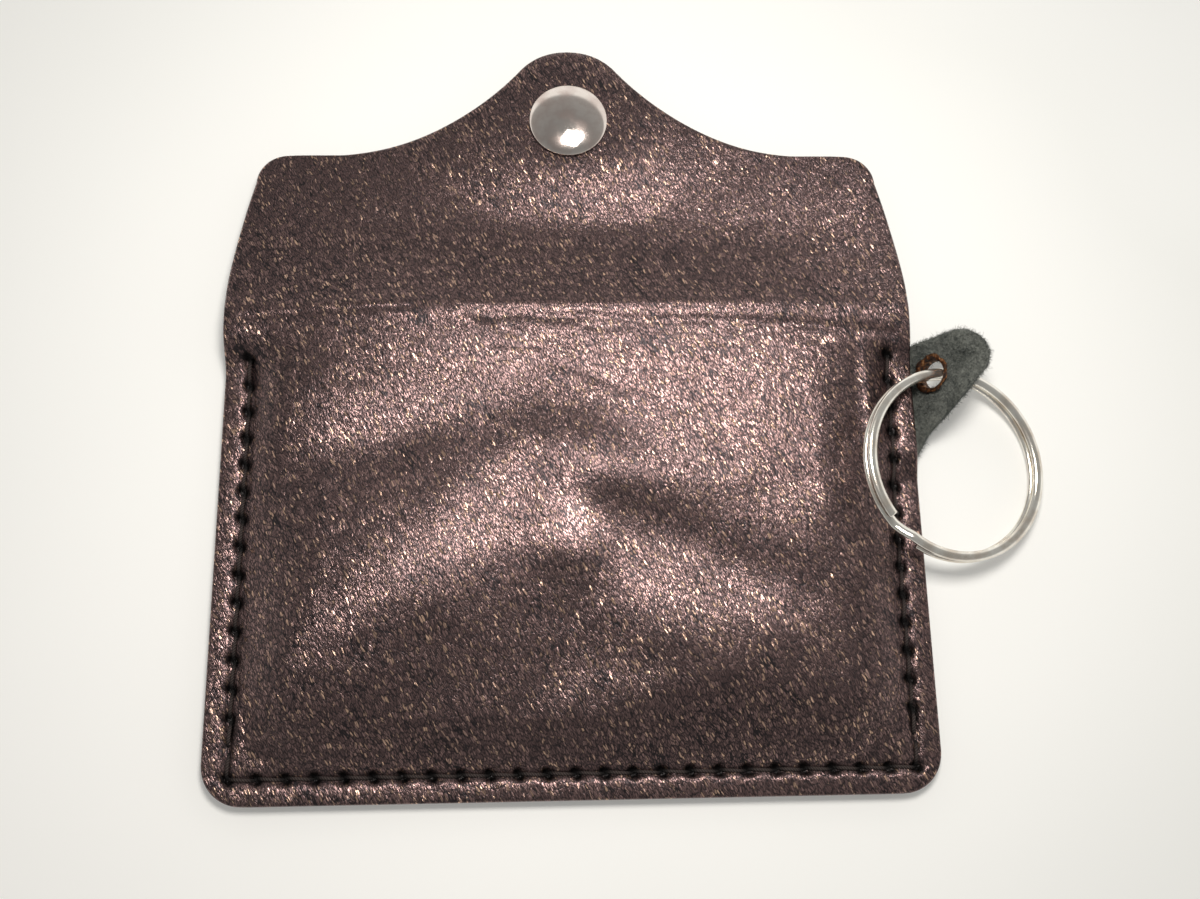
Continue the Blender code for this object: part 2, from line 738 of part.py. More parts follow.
def build_eyelet(finish):
    """The snap eyelet: a flange inside the pocket and a post down into the stud."""
    seat = DOME_Z + LEATHER + SNUG
    top = seat + EYELET_T
    flange_r = EYELET_D / 2
    post_r = EYELET_POST_D / 2
    foot = STUD_WALL + FIT
    profile = [(0.0, top), (flange_r - EDGE_BREAK, top), (flange_r, seat + EYELET_T / 2)]
    profile += [(flange_r - EDGE_BREAK, seat), (post_r, seat), (post_r, foot), (0.0, foot)]
    return turned_on("snap_eyelet", profile, STUD_Y, finish)


# Key tab and ring

def tab_ramp():
    """Where the tab's straight ramp starts, as its x and mid height."""
    x = HALF_W + FIT / 2 + TAB_BEND_R * math.sin(TAB_RISE)
    z = SEWN_Z + TAB_T / 2 + TAB_BEND_R * (1 - math.cos(TAB_RISE))
    return x, z


def tab_hole_x():
    """Where the ramp reaches the height at which the ring rests on the table."""
    x, z = tab_ramp()
    return x + (TAB_HOLE_Z - z) / math.tan(TAB_RISE)


def tab_profile():
    """The tab's middle line as (x, z, slope): bend up, ramp, bend back, level tip."""
    start_x = HALF_W + FIT / 2
    start_z = SEWN_Z + TAB_T / 2
    line = []
    for slope in spread(0.0, TAB_RISE, 4):
        x = start_x + TAB_BEND_R * math.sin(slope)
        z = start_z + TAB_BEND_R * (1 - math.cos(slope))
        line.append((x, z, slope))
    top_x = tab_hole_x() + TAB_RAMP_PAST
    top_z = TAB_HOLE_Z + TAB_RAMP_PAST * math.tan(TAB_RISE)
    line.append((tab_hole_x(), TAB_HOLE_Z, TAB_RISE))
    centre_x = top_x + TAB_BEND_OUT_R * math.sin(TAB_RISE)
    centre_z = top_z - TAB_BEND_OUT_R * math.cos(TAB_RISE)
    for slope in reversed(spread(0.0, TAB_RISE, 4)):
        x = centre_x - TAB_BEND_OUT_R * math.sin(slope)
        z = centre_z + TAB_BEND_OUT_R * math.cos(slope)
        line.append((x, z, slope))
    level_x, level_z, _ = line[-1]
    tip_x = HALF_W + TAB_REACH
    for share in TIP_ROW_SHARES:
        line.append((level_x + (tip_x - level_x) * share, level_z, 0.0))
    return line


def build_tab(finish, axis):
    """The key tab outside the seam, bent up over the table, with its eyelet hole."""
    upper = []
    lower = []
    for x, z, slope in tab_profile():
        low, high = tab_edges(x)
        lift = TAB_T / 2
        out_x, out_z = -math.sin(slope) * lift, math.cos(slope) * lift
        rows = [low + (high - low) * share for share in spread(0.0, 1.0, 6)]
        upper.append([spot(x + out_x, y, z + out_z) for y in rows])
        lower.append([spot(x - out_x, y, z - out_z) for y in rows])
    points, faces = closed_grid(upper, lower)
    piece = add_piece("key_tab", points, faces, finish, axis)
    radius = TAB_BORE / 2 + TAB_EYELET_WALL + SNUG
    profile = [(0.0, -OVERRUN), (radius, -OVERRUN), (radius, OVERRUN), (0.0, OVERRUN)]
    hole = turned("tab hole", profile, Vector(), None)
    hole.hide_render = True
    hole.display_type = 'WIRE'
    lean_to_tab(hole)
    cut(piece, hole)
    return piece


def lean_to_tab(made):
    """Set a turned piece square to the tab's ramp, on the centre of its hole."""
    lean = Matrix.Rotation(-TAB_RISE, 4, 'Y')
    place = spot(tab_hole_x(), TAB_HOLE_Y, TAB_HOLE_Z)
    made.data.transform(Matrix.Translation(place) @ lean)


def build_tab_root(finish, slits):
    """The tab's root, sewn between the two panels."""
    left = HALF_W - TAB_ROOT_L
    right = HALF_W - FIT / 2
    columns = spread(left, right, 4)
    upper = [[spot(x, y, SEWN_Z + TAB_T) for y in (TAB_LOW, TAB_HIGH)] for x in columns]
    lower = [[spot(x, y, SEWN_Z) for y in (TAB_LOW, TAB_HIGH)] for x in columns]
    piece = add_piece("tab_root", *closed_grid(upper, lower), finish)
    cut(piece, slits)
    return piece


def build_tab_eyelet(finish, axis):
    """The eyelet through the tab: a barrel with a flange on each face."""
    bore_r = TAB_BORE / 2
    barrel_r = bore_r + TAB_EYELET_WALL
    flange_r = TAB_FLANGE_D / 2
    face = TAB_T / 2 + SNUG
    end = face + TAB_EYELET_WALL
    profile = [(bore_r, -end), (bore_r, end), (flange_r - EDGE_BREAK, end), (flange_r, face)]
    profile += [(barrel_r, face), (barrel_r, -face), (flange_r, -face)]
    profile += [(flange_r - EDGE_BREAK, -end)]
    home = world_place(axis)
    made = turned("tab_eyelet", profile, Vector(), finish)
    lean_to_tab(made)
    made.data.transform(Matrix.Translation(-home))
    made.parent = axis
    return made


def ring_frame():
    """The ring's centre and its two in-plane ways, sloping down to the right."""
    right = Vector((math.cos(RING_TILT), 0.0, -math.sin(RING_TILT)))
    back = Vector((0.0, 1.0, 0.0))
    hole = spot(tab_hole_x(), TAB_HOLE_Y, TAB_HOLE_Z)
    arm = right * -math.sin(RING_HANG) + back * math.cos(RING_HANG)
    return hole - arm * RING_R, right, back


def build_ring(finish, axis):
    """The split ring: one wire, two turns, with a jog from the lower to the upper turn."""
    centre, right, back = ring_frame()
    up = right.cross(back)
    start = RING_JOG_AT + RING_JOG / 2 + RING_END_GAP
    total = 4 * math.pi - RING_JOG - 2 * RING_END_GAP
    jog_from = 2 * math.pi - RING_JOG - RING_END_GAP
    flat_w = RING_WIRE_W / 2 - RING_WIRE_EDGE
    flat_h = RING_WIRE_H / 2 - RING_WIRE_EDGE
    outline = [(flat_w, -RING_WIRE_H / 2), (RING_WIRE_W / 2, -flat_h)]
    outline += [(RING_WIRE_W / 2, flat_h), (flat_w, RING_WIRE_H / 2)]
    outline += [(-out, -rise) for out, rise in outline]
    sections = []
    middle = []
    for travel in spread(0.0, total, RING_STEPS):
        turn = start + travel
        lift = RING_PITCH * (ease((travel - jog_from) / RING_JOG) - 0.5)
        out = right * math.cos(turn) + back * math.sin(turn)
        point = centre + out * RING_R + up * lift
        middle.append(point)
        sections.append([point + out * w + up * h for w, h in outline])
    report_turn_gap(middle)
    return add_piece("key_ring", *swept(sections), finish, axis, smooth=RING_SMOOTH)


def report_turn_gap(middle):
    """Measure and print the least gap between the ring's two turns."""
    points = np.array([tuple(point) for point in middle])
    apart = np.linalg.norm(points[:, None] - points[None, :], axis=2)
    number = np.arange(len(points))
    near = np.abs(number[:, None] - number[None, :]) < RING_STEPS // 4
    apart[near] = np.inf
    print("key ring: least gap between turns, mm", round((apart.min() - RING_WIRE_H) / MM, 2))


def main():
    """Build every piece of the wallet."""
    for old in list(bpy.data.objects):
        bpy.data.objects.remove(old, do_unlink=True)

    bronze = (0.085, 0.055, 0.048)
    suede = (0.075, 0.085, 0.085)
    fold_axis = add_axis("fold axis", spot(0.0, HINGE_Y, HINGE_Z))
    flap_axis = add_axis("flap axis", spot(0.0, HINGE2_Y, HINGE2_Z), fold_axis)
    tab_axis = add_axis("tab axis", spot(HALF_W, (TAB_LOW + TAB_HIGH) / 2, SEWN_Z))
    ring_axis = add_axis("ring axis", spot(tab_hole_x(), TAB_HOLE_Y, TAB_HOLE_Z), tab_axis)

    holes = stitch_holes()
    slits = slit_cutter("stitch slits", holes)
    build_back(material("back leather", bronze, 0.42, 0.6), holes, slits)
    build_front(material("front leather", bronze, 0.42, 0.6), holes, slits)
    build_fold(material("fold leather", bronze, 0.42, 0.6), fold_axis)
    build_flap(material("flap leather", bronze, 0.42, 0.6), flap_axis)
    build_tab_root(material("root suede", suede, 0.95, 0.0), slits)
    build_tab(material("tab suede", suede, 0.95, 0.0), tab_axis)
    build_tab_eyelet(material("aged bronze", (0.25, 0.11, 0.04), 0.5, 0.9), tab_axis)
    build_ring(material("ring nickel", (0.72, 0.69, 0.64), 0.22, 1.0), ring_axis)
    build_cap(material("cap nickel", (0.62, 0.57, 0.53), 0.15, 1.0), flap_axis)
    build_socket(material("socket nickel", (0.6, 0.58, 0.55), 0.25, 1.0), flap_axis)
    build_spring(material("spring steel", (0.5, 0.5, 0.5), 0.3, 1.0), flap_axis)
    build_stud(material("stud nickel", (0.6, 0.58, 0.55), 0.25, 1.0))
    build_eyelet(material("eyelet nickel", (0.6, 0.58, 0.55), 0.25, 1.0))
    for letter, side, first in (("a", -1.0, True), ("b", 1.0, False)):
        route = thread_route(holes, side, first)
        sections = tube_sections(route, THREAD_D / 2, THREAD_SIDES)
        waxed = material("thread " + letter, (0.02, 0.016, 0.014), 0.6, 0.0)
        add_piece("seam_thread_" + letter, *swept(sections), waxed)

    places = ("fold", spot(0.0, HINGE_Y, HINGE_Z)), ("flap", spot(0.0, HINGE2_Y, HINGE2_Z))
    centre, right, back = ring_frame()
    tangent = right * math.cos(RING_HANG) + back * math.sin(RING_HANG)
    for name, place in places:
        print(name, "hinge, mm", [round(value / MM, 4) for value in place])
    print("tab hole, mm", [round(v / MM, 4) for v in spot(tab_hole_x(), TAB_HOLE_Y, TAB_HOLE_Z)])
    print("ring centre, mm", [round(v / MM, 4) for v in centre], "tangent", list(tangent))
    print("stud at, mm", round(STUD_Y / MM, 3), "snap at", round(SNAP_Y / MM, 3))


main()
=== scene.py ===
# %% [markdown]
# # A leather keychain card wallet
#
# The wallet lies face down on pale paper with its snap flap open, so we look at its grain
# side, at the cap of its snap and at the split ring on its suede tab. Each step below builds
# one piece of it, finer than the solid it covers, and then dresses it. All lengths are metres.

# %% Load the frame
from math import asin, atan2, cos, hypot, pi, radians, sin, sqrt, tan

import bmesh
import bpy
import numpy as np
from mathutils import Matrix, Vector


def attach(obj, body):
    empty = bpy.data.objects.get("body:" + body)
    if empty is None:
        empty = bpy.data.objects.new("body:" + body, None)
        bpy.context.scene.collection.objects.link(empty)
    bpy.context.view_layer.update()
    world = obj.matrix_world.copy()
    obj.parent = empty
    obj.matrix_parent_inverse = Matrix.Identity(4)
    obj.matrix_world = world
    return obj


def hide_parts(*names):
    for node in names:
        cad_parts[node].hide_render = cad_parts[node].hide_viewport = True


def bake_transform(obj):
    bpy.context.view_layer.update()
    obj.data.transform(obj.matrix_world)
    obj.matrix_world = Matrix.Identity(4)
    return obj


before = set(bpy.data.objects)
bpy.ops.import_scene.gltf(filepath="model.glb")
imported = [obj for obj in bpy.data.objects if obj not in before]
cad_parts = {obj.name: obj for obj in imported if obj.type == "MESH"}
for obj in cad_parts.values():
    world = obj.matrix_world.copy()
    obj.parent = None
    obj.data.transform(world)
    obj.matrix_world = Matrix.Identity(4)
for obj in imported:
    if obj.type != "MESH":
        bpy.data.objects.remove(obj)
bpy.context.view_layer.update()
MM = 0.001


def mm(*sizes):
    """Sizes in millimetres as metres."""
    return [size * MM for size in sizes]


# %% [markdown]
# ## Camera
# The photograph was taken by hand from 17 cm above the pocket's lower edge, leaning a
# little towards the flap. The camera's place and its three directions were fitted to the
# outline, the seams and the ring.

# %% Camera
camera_data = bpy.data.cameras.new("camera")
camera_data.sensor_width = 36.0
camera_data.lens = 34.5
camera_data.clip_start = 0.005
camera = bpy.data.objects.new("camera", camera_data)
bpy.context.collection.objects.link(camera)
right = Vector((0.99908694, -0.01826687, 0.03862133))
up = Vector((0.00816683, 0.96897276, 0.24703257))
ahead = Vector((0.04193553, 0.2464916, -0.96823721))
turn = Matrix((right, up, -ahead)).transposed().to_4x4()
camera.matrix_world = Matrix.Translation((-0.0031, -0.0010, 0.1722)) @ turn
bpy.context.scene.camera = camera
print("camera at", [round(v, 4) for v in camera.location])

# %% [markdown]
# ## Light
# One soft panel stands where the photograph's light came from, above the camera, so that the
# leather shines on the same slopes and the shadows fall towards the pocket's lower edge.

# %% Light
lamp = bpy.data.lights.new("key panel", 'AREA')
lamp.shape = 'SQUARE'
lamp.size = 0.06
lamp.energy = 0.30
lamp.color = (1.0, 0.97, 0.93)
panel = bpy.data.objects.new("key panel", lamp)
bpy.context.collection.objects.link(panel)
lamp_place, lit_place = Vector((0.018, 0.087, 0.178)), Vector((0.0, 0.040, 0.0))
facing = (lit_place - lamp_place).to_track_quat('-Z', 'Y').to_matrix().to_4x4()
panel.matrix_world = Matrix.Translation(lamp_place) @ facing
print("one soft panel")

# %% [markdown]
# ## Nodes
# A finish in Blender is a graph of small nodes. Each of them takes plain values or what other
# nodes put out. These helpers make and feed a node in one line, so that a finish reads like
# a formula, and the graph runs from left to right in the shader editor.

# %% Nodes
GRID = 200.0
MIX_SOCKETS = {'FLOAT': (2, 3, 0), 'RGBA': (6, 7, 2)}


def feed(tree, entry, value):
    """Link another node's output to an input, or set the input to a plain value."""
    if isinstance(value, bpy.types.NodeSocket):
        tree.links.new(value, entry)
        entry.node.location.x = max(entry.node.location.x, value.node.location.x + GRID)
    else:
        entry.default_value = value


def node(tree, kind, *terms, **values):
    """A shader node, to the right of those that it reads. The values go to the inputs or
    settings of their names, and the terms to the first inputs."""
    made = tree.nodes.new('ShaderNode' + kind)
    made.location.y = -GRID * len(tree.nodes)
    for key, value in values.items():
        if key in made.inputs:
            feed(tree, made.inputs[key], value)
        else:
            setattr(made, key, value)
    for number, value in enumerate(terms):
        feed(tree, made.inputs[number], value)
    return made


def maths(tree, operation, *terms):
    """The result of a Math node."""
    return node(tree, 'Math', *terms, operation=operation).outputs[0]


def vectors(tree, operation, *terms):
    """The result of a Vector Math node: a vector, or a number for a product or a distance."""
    made = node(tree, 'VectorMath', *terms, operation=operation)
    return made.outputs[1 if operation in ('DOT_PRODUCT', 'DISTANCE') else 0]


def noise(tree, place, scale, detail, **values):
    """Cloudy random values: noise of a scale, with finer layers of detail."""
    return node(tree, 'TexNoise', place, Scale=scale, Detail=detail, **values).outputs[0]


def mixed(tree, share, first, second, kind='RGBA'):
    """What lies by a share between the first and the second: two colours or two numbers."""
    made = node(tree, 'Mix', share, data_type=kind)
    first_input, second_input, result = MIX_SOCKETS[kind]
    feed(tree, made.inputs[first_input], first)
    feed(tree, made.inputs[second_input], second)
    return made.outputs[result]


def ramp(tree, value, stops):
    """A value's colour on a ramp of (place, colour) stops; a number stands for a grey."""
    made = node(tree, 'ValToRGB', value)
    elements = made.color_ramp.elements
    while len(elements) < len(stops):
        elements.new(0.5)
    for element, (place, colour) in zip(elements, stops):
        element.position = place
        if isinstance(colour, float):
            colour = (colour, colour, colour)
        element.color = (*colour, 1.0)
    return made.outputs[0]


# %% [markdown]
# ## Sky
# The sky is pale near the horizon and dim overhead, as a room is, because polished metal
# shows whatever surrounds it. The camera itself sees plain white.

# %% Sky
WARM_WHITE = (1.0, 0.985, 0.955, 1.0)
DIM_WAY = (-0.09, -0.17, 0.98)
world = bpy.data.worlds.new("pale studio")
bpy.context.scene.world = world
world.use_nodes = True
tree = world.node_tree
ways = node(tree, 'TexCoord').outputs["Generated"]
height = vectors(tree, 'DOT_PRODUCT', ways, DIM_WAY)
tones = ramp(tree, height, ((0.0, (1.0, 0.99, 0.96)), (0.29, (0.95, 0.94, 0.91)),
                            (0.37, (0.35, 0.35, 0.34)), (1.0, (0.215, 0.218, 0.216))))
rays = node(tree, 'LightPath').outputs
sky = tree.nodes["Background"]
feed(tree, sky.inputs["Color"], mixed(tree, rays["Is Camera Ray"], tones, WARM_WHITE))
sky.inputs["Strength"].default_value = 1.0
bpy.context.scene.view_settings.view_transform = 'Standard'
print("a room-like sky")

# %% [markdown]
# ## Paper
# The wallet lies on white paper. Its whiteness is its own colour, and a little light of its
# own that only the camera and mirrors see, so it never lights the leather from below. Its
# colour is made a little darker further from a point left of the wallet: painted shade, where
# the lamp's light falls off. Far from the wallet its own light takes over, so the paper meets
# the white backdrop unseen.

# %% Paper
PAPER_R, PAPER_Z = 3.0, -1e-4
# the point from which the paper's painted shade and its glow are measured
PAPER_MIDDLE = (-0.035, 0.0, 0.0)


def new_finish(name):
    """A material and its node tree."""
    made = bpy.data.materials.new(name)
    made.use_nodes = True
    return made, made.node_tree


def dressed(made, values, layers=()):
    """The material with its shader's inputs fed by name, and with a chain of Bump nodes:
    each layer is (height, strength, distance in mm)."""
    tree, normal = made.node_tree, {}
    for height, strength, distance in layers:
        bump = node(tree, 'Bump', Height=height, Strength=strength, Distance=distance * MM,
                    **normal)
        normal = {"Normal": bump.outputs[0]}
    for name, value in {**values, **normal}.items():
        feed(tree, tree.nodes["Principled BSDF"].inputs[name], value)
    return made


def paper_finish():
    """White paper: a cloudy tone, painted darker outwards as shade, and its own light for camera
    and mirror rays.
    """
    made, tree = new_finish("white paper")
    place = node(tree, 'TexCoord').outputs["Object"]
    cloudy = noise(tree, place, 9.0, 2.0)
    far = vectors(tree, 'DISTANCE', place, PAPER_MIDDLE)
    fade = maths(tree, 'MULTIPLY_ADD', cloudy, 0.12, far)
    # painted shade: the paper's colour darkens further from PAPER_MIDDLE, as the lamp's light falls
    # off
    paper_tone_and_shade = ramp(tree, fade, ((0.10, (0.84, 0.83, 0.80)), (0.22, (0.75, 0.75, 0.72)),
                             (0.42, 0.03)))
    rays = node(tree, 'LightPath').outputs
    seen = maths(tree, 'MAXIMUM', rays["Is Camera Ray"], rays["Is Glossy Ray"])
    whiter = ramp(tree, fade, ((0.22, 0.16), (0.38, 1.0)))
    glow = maths(tree, 'MULTIPLY', seen, whiter)
    return dressed(made, {"Base Color": paper_tone_and_shade, "Roughness": 0.9, "Specular IOR Level": 0.2,
                          "Emission Color": WARM_WHITE, "Emission Strength": glow})


def face_outwards(mesh):
    """Flip the faces of a closed mesh if the volume that they enclose counts as negative."""
    shell = bmesh.new()
    shell.from_mesh(mesh)
    inside_out = shell.calc_volume(signed=True) < 0.0
    shell.free()
    if inside_out:
        mesh.flip_normals()


def add_mesh(name, points, faces, finishes, index=None, smooth=True):
    """An object from arrays of points and of faces, with a finish index for each face."""
    mesh = bpy.data.meshes.new(name)
    mesh.from_pydata(points.reshape(-1, 3), [], faces)
    for finish in finishes:
        mesh.materials.append(finish)
    if index is not None:
        mesh.polygons.foreach_set("material_index", index.astype(np.int32))
    mesh.polygons.foreach_set("use_smooth", np.full(len(mesh.polygons), smooth))
    face_outwards(mesh)
    mesh.update()
    made = bpy.data.objects.new(name, mesh)
    bpy.context.collection.objects.link(made)
    return made


square = np.array([(-1, -1), (1, -1), (1, 1), (-1, 1)]) * PAPER_R
corners = np.column_stack([square, np.full(4, PAPER_Z)])
paper = add_mesh("paper", corners, np.array([[0, 1, 2, 3]]), [paper_finish()], smooth=False)
print("paper", 2 * PAPER_R, "m wide")

# %% [markdown]
# ## Sizes
# The leather is one millimetre thick. Heights across the wallet are counted from the
# pocket's bottom edge, as a maker would mark them out, and are moved to the frame's origin
# only when the points are made.

# %% Sizes
SEAT_IN, LEATHER, SEWN_Z = mm(9.0, 1.0, 1.3)
HALF_W, FRONT_H, CORNER_R = mm(53.0, 68.0, 6.0)
SEAM_X, SEAM_IN, SEAM_TOP = mm(49.3, 3.7, 66.0)
HINGE_Y, JOIN_Y, CREST_Y, HINGE2_Y, VALLEY_Y = mm(70.5, 73.2, 73.7, 75.9, 89.0)
SHOULDER_Y, SHOULDER_R = mm(99.9, 4.6)
NOSE_Y, NOSE_R = mm(118.8, 10.0)
SIDE_LEAN, SIDE_RUN, BOW_R = mm(4.6, 24.0, 41.0)
SIDE_END_Y, NOSE_MID_Y = SHOULDER_Y - SHOULDER_R, NOSE_Y - NOSE_R
SNAP_Y, STUD_Y = mm(105.4, 40.7)
LATTICE = 64


def ease(share):
    """Smooth step: s squared times (3 - 2 s), with s held between 0 and 1."""
    share = np.clip(share, 0.0, 1.0)
    return share * share * (3.0 - 2.0 * share)


def bell(reach, width):
    """Bell curve: one in the middle, and e to the minus square of reach over width outside."""
    return np.exp(-(reach / width) ** 2)


def in_frame(x, y, z):
    """Points in the frame from places measured above the bottom edge."""
    return np.stack(np.broadcast_arrays(x, y - SEAT_IN, z), axis=-1)


def cloud(x, y, cell, seed):
    """Smooth random heights from -1 to 1: a lattice of random values, a cell apart,
    mixed by the smooth step along x and then along y."""
    lattice = np.random.default_rng(seed).uniform(-1.0, 1.0, (LATTICE, LATTICE))
    u, v = x / cell + 31.3, y / cell + 17.7
    i, j = np.floor(u).astype(int), np.floor(v).astype(int)
    s, t = ease(u - i), ease(v - j)
    k, m = (i + 1) % LATTICE, (j + 1) % LATTICE
    i, j = i % LATTICE, j % LATTICE
    near = lattice[i, j] * (1 - s) + lattice[k, j] * s
    far = lattice[i, m] * (1 - s) + lattice[k, m] * s
    return near * (1 - t) + far * t


print("pocket", 2 * HALF_W / MM, "x", FRONT_H / MM, "mm")

# %% [markdown]
# ## How the leather lies
# Soft leather over a snap and a few cards isn't flat. It bellies up inside the seam, and the
# stud below holds up soft folds: a broad one to the left, a narrow one down to the right and
# one above, with hollows between them. Each is a hill or a hollow: its height falls off as a
# bell curve along and across its own direction. Lines of hair-thin creases lie along the
# flap's fold, where the leather has been bent most.

# %% Folds and creases
# middle x and y, turn in degrees, half length, half width, height
HILLS_MM = (
    (-27.0, 31.0, 33.0, 21.0, 12.0, 2.20),
    (11.0, 26.0, -26.0, 16.0, 6.5, 1.00),
    (5.0, 48.0, -22.0, 11.0, 5.5, 1.60),
    (-30.0, 52.0, 14.0, 22.0, 6.0, -0.90),
    (25.5, 32.0, -21.0, 19.0, 4.8, -0.85),
    (-1.0, 20.0, 87.0, 16.0, 9.7, -0.90),
    (39.0, 17.0, -47.0, 9.0, 10.0, -0.80),
    (-11.0, 16.0, 2.0, 21.0, 7.5, -0.80),
    (0.0, 35.5, -11.0, 8.0, 4.8, 0.85),
    (46.0, 51.0, 90.0, 20.0, 4.5, 0.80),
    (-46.0, 58.0, 86.0, 18.0, 4.5, 0.80),
)
# start, end, half width, height and how far a cloud bends the line
CREASES_MM = (
    ((-14.0, 71.6), (50.0, 69.2), 0.95, -0.22, 0.45),
    ((2.0, 69.6), (40.0, 67.8), 0.70, -0.12, 0.50),
    ((-16.0, 72.6), (8.0, 59.0), 0.60, -0.14, 0.60),
    ((-9.0, 70.0), (16.0, 56.5), 0.70, -0.12, 0.70),
    ((-50.0, 72.0), (-24.0, 72.8), 0.50, -0.10, 0.30),
    ((-12.0, 66.5), (12.0, 66.0), 0.60, -0.09, 0.50),
)
WAVES_MM = ((0.14, 9.0, 5), (0.05, 4.0, 6))
CREST_Z, CREST_ARCH, CREST_RUN = mm(4.3, 1.5, 27.0)
BELLY_X, BELLY_Y, BELLY_H = mm(48.4, 4.6, 4.1)
SLOPE, SLOPE_SWAY, LOW_SLOPE = mm(11.5, 3.5, 2.5)
BUMP_R, BUMP_H = mm(10.0, 0.5)
OVER_TAB_X, OVER_TAB_LOW, OVER_TAB_TOP, OVER_TAB_H = mm(43.4, 45.4, 71.4, 1.3)
MOUTH_Y, MOUTH_RUN = mm(63.0, 7.5)
VALLEY_Z, SNAP_RISE, SNAP_REACH, SNAP_RUN = mm(2.8, 1.1, 19.5, 13.5)
RIDGE_Y, RIDGE_W, RIDGE_H = mm(72.6, 1.9, 0.18)
FLAP_WAVE, FLAP_WAVE_Y, FLAP_WAVE_RUN = mm(0.12, 77.0, 6.0)


def line_reach(x, y, start, end):
    """Distance of each point to the straight line between two places in millimetres."""
    (ax, ay), (bx, by) = (np.array(start) * MM, np.array(end) * MM)
    run = (bx - ax) ** 2 + (by - ay) ** 2
    share = np.clip(((x - ax) * (bx - ax) + (y - ay) * (by - ay)) / run, 0.0, 1.0)
    return np.hypot(x - ax - share * (bx - ax), y - ay - share * (by - ay))


def folds(x, y):
    """Soft folds: the sum of the hills and hollows, and slow random waves."""
    total = 0.0
    for at_x, at_y, turn, length, width, height in HILLS_MM:
        c, d = cos(radians(turn)), sin(radians(turn))
        along = ((x / MM - at_x) * c + (y / MM - at_y) * d) / length
        across = ((y / MM - at_y) * c - (x / MM - at_x) * d) / width
        total += height * MM * np.exp(-along ** 2 - across ** 2)
    for height, cell, seed in WAVES_MM:
        total = total + height * MM * cloud(x, y, cell * MM, seed)
    return total


def creases(x, y):
    """Fine creases: narrow bell curves along lines that a slow cloud makes wavy."""
    total = 0.0
    for number, (start, end, width, height, sway) in enumerate(CREASES_MM):
        bent = y + sway * MM * cloud(x, y, 3.2 * MM, 20 + number)
        total += height * MM * bell(line_reach(x, bent, start, end), width * MM)
    return total


def crest(x):
    """Height of the fold's lower face, arched from the sides to the middle."""
    return CREST_Z + CREST_ARCH * ease((HALF_W - np.abs(x)) / CREST_RUN)


def ridge(y):
    """The stiff line along the top of the fold."""
    return RIDGE_H * bell(y - RIDGE_Y, RIDGE_W)


def back_under(x, y):
    """Lower face of the back: sewn edge, belly, stud bump and the lift over the key tab."""
    width = SLOPE + SLOPE_SWAY * cloud(x, y, 16 * MM, 12)
    side = np.clip((BELLY_X - np.abs(x)) / width, 0.0, 1.0)
    low = np.clip((y - BELLY_Y) / (width + LOW_SLOPE), 0.0, 1.0)
    belly = 1.0 - np.clip(np.hypot(1.0 - side, 1.0 - low), 0.0, 1.0) ** 2.0
    bump = BUMP_H * ease(1.0 - np.hypot(x, y - STUD_Y) / BUMP_R)
    across = ease((x - OVER_TAB_X) / (2.5 * MM))
    below = ease((y - OVER_TAB_LOW) / (5.2 * MM))
    above = ease((OVER_TAB_TOP - y) / (3.5 * MM))
    tab = OVER_TAB_H * across * below * above * (1.0 - belly)
    pocket = SEWN_Z + BELLY_H * belly + bump + tab + folds(x, y) * belly
    return pocket + (crest(x) - pocket) * ease((y - MOUTH_Y) / MOUTH_RUN)


def flap_under(x, y):
    """Lower face of the flap: down from the crest to a valley, and up to the snap."""
    down = np.clip((y - CREST_Y) / (VALLEY_Y - CREST_Y), 0.0, 1.0)
    fall = 1.0 - (1.0 - down) ** 2 * (1.0 + 0.6 * down)
    rise = ease((SNAP_REACH - np.hypot(0.62 * x, y - SNAP_Y)) / SNAP_RUN)
    wave = FLAP_WAVE * cloud(x, y, 12 * MM, 8) * ease((y - FLAP_WAVE_Y) / FLAP_WAVE_RUN)
    top = VALLEY_Z + (crest(x) - VALLEY_Z) * (1 - fall) + SNAP_RISE * rise
    return top + ridge(y) + wave * (1 - rise)


def leather_under(x, y):
    """Lower face of the whole leather, where the back runs into the flap at the hinge."""
    return np.where(y < HINGE_Y, back_under(x, y) + ridge(y), flap_under(x, y))


print("soft folds", len(HILLS_MM), "fine creases", len(CREASES_MM))

# %% [markdown]
# ## Seam
# The wallet is sewn by hand with two needles on one waxed thread, the saddle stitch: both
# ends pass through each slit from opposite sides. The thread pulls the leather down into a
# groove, with a small pit at every hole. The holes' places are worked out once, and the pits,
# the thread and the groove all read them.

# %% Stitch holes
SIDE_HOLES, LOW_HOLES = 15, 25
GROOVE_D, GROOVE_W = mm(0.42, 0.62)
DIP_D, DIP_W = mm(0.16, 2.2)
PIT_D, PIT_R = mm(0.80, 0.80)
DEEPEST = 0.92 * MM
# each slit's painted shade: its oval's half length and half width, and how strongly it darkens
SLIT_LONG, SLIT_WIDE = mm(1.45, 0.95)
SLIT_SHADE_STRENGTH = 1.9
side_y = np.linspace(SEAM_TOP, SEAM_IN, SIDE_HOLES + 1)[:-1]
low_x = np.linspace(-SEAM_X, SEAM_X, LOW_HOLES)
hole_x = np.concatenate([np.full(SIDE_HOLES, -SEAM_X), low_x, np.full(SIDE_HOLES, SEAM_X)])
hole_y = np.concatenate([side_y, np.full(LOW_HOLES, SEAM_IN), side_y[::-1]])
print("stitch holes:", len(hole_x))


def seam_pull(x, y):
    """How far the thread pulls the leather down: a groove, deepest between holes, and pits."""
    reach = np.minimum(np.abs(np.abs(x) - SEAM_X) + np.maximum(SEAM_IN - y, 0) * 9,
                       np.abs(y - SEAM_IN) + np.maximum(np.abs(x) - SEAM_X, 0) * 9)
    reach = reach + np.maximum(y - SEAM_TOP, 0) * 2
    pits = 0.0
    for px, py in zip(hole_x, hole_y):
        pits = np.maximum(pits, PIT_D * bell(np.hypot(x - px, y - py), PIT_R))
    return np.minimum(GROOVE_D * bell(reach, GROOVE_W) + DIP_D * bell(reach, DIP_W) + pits, DEEPEST)


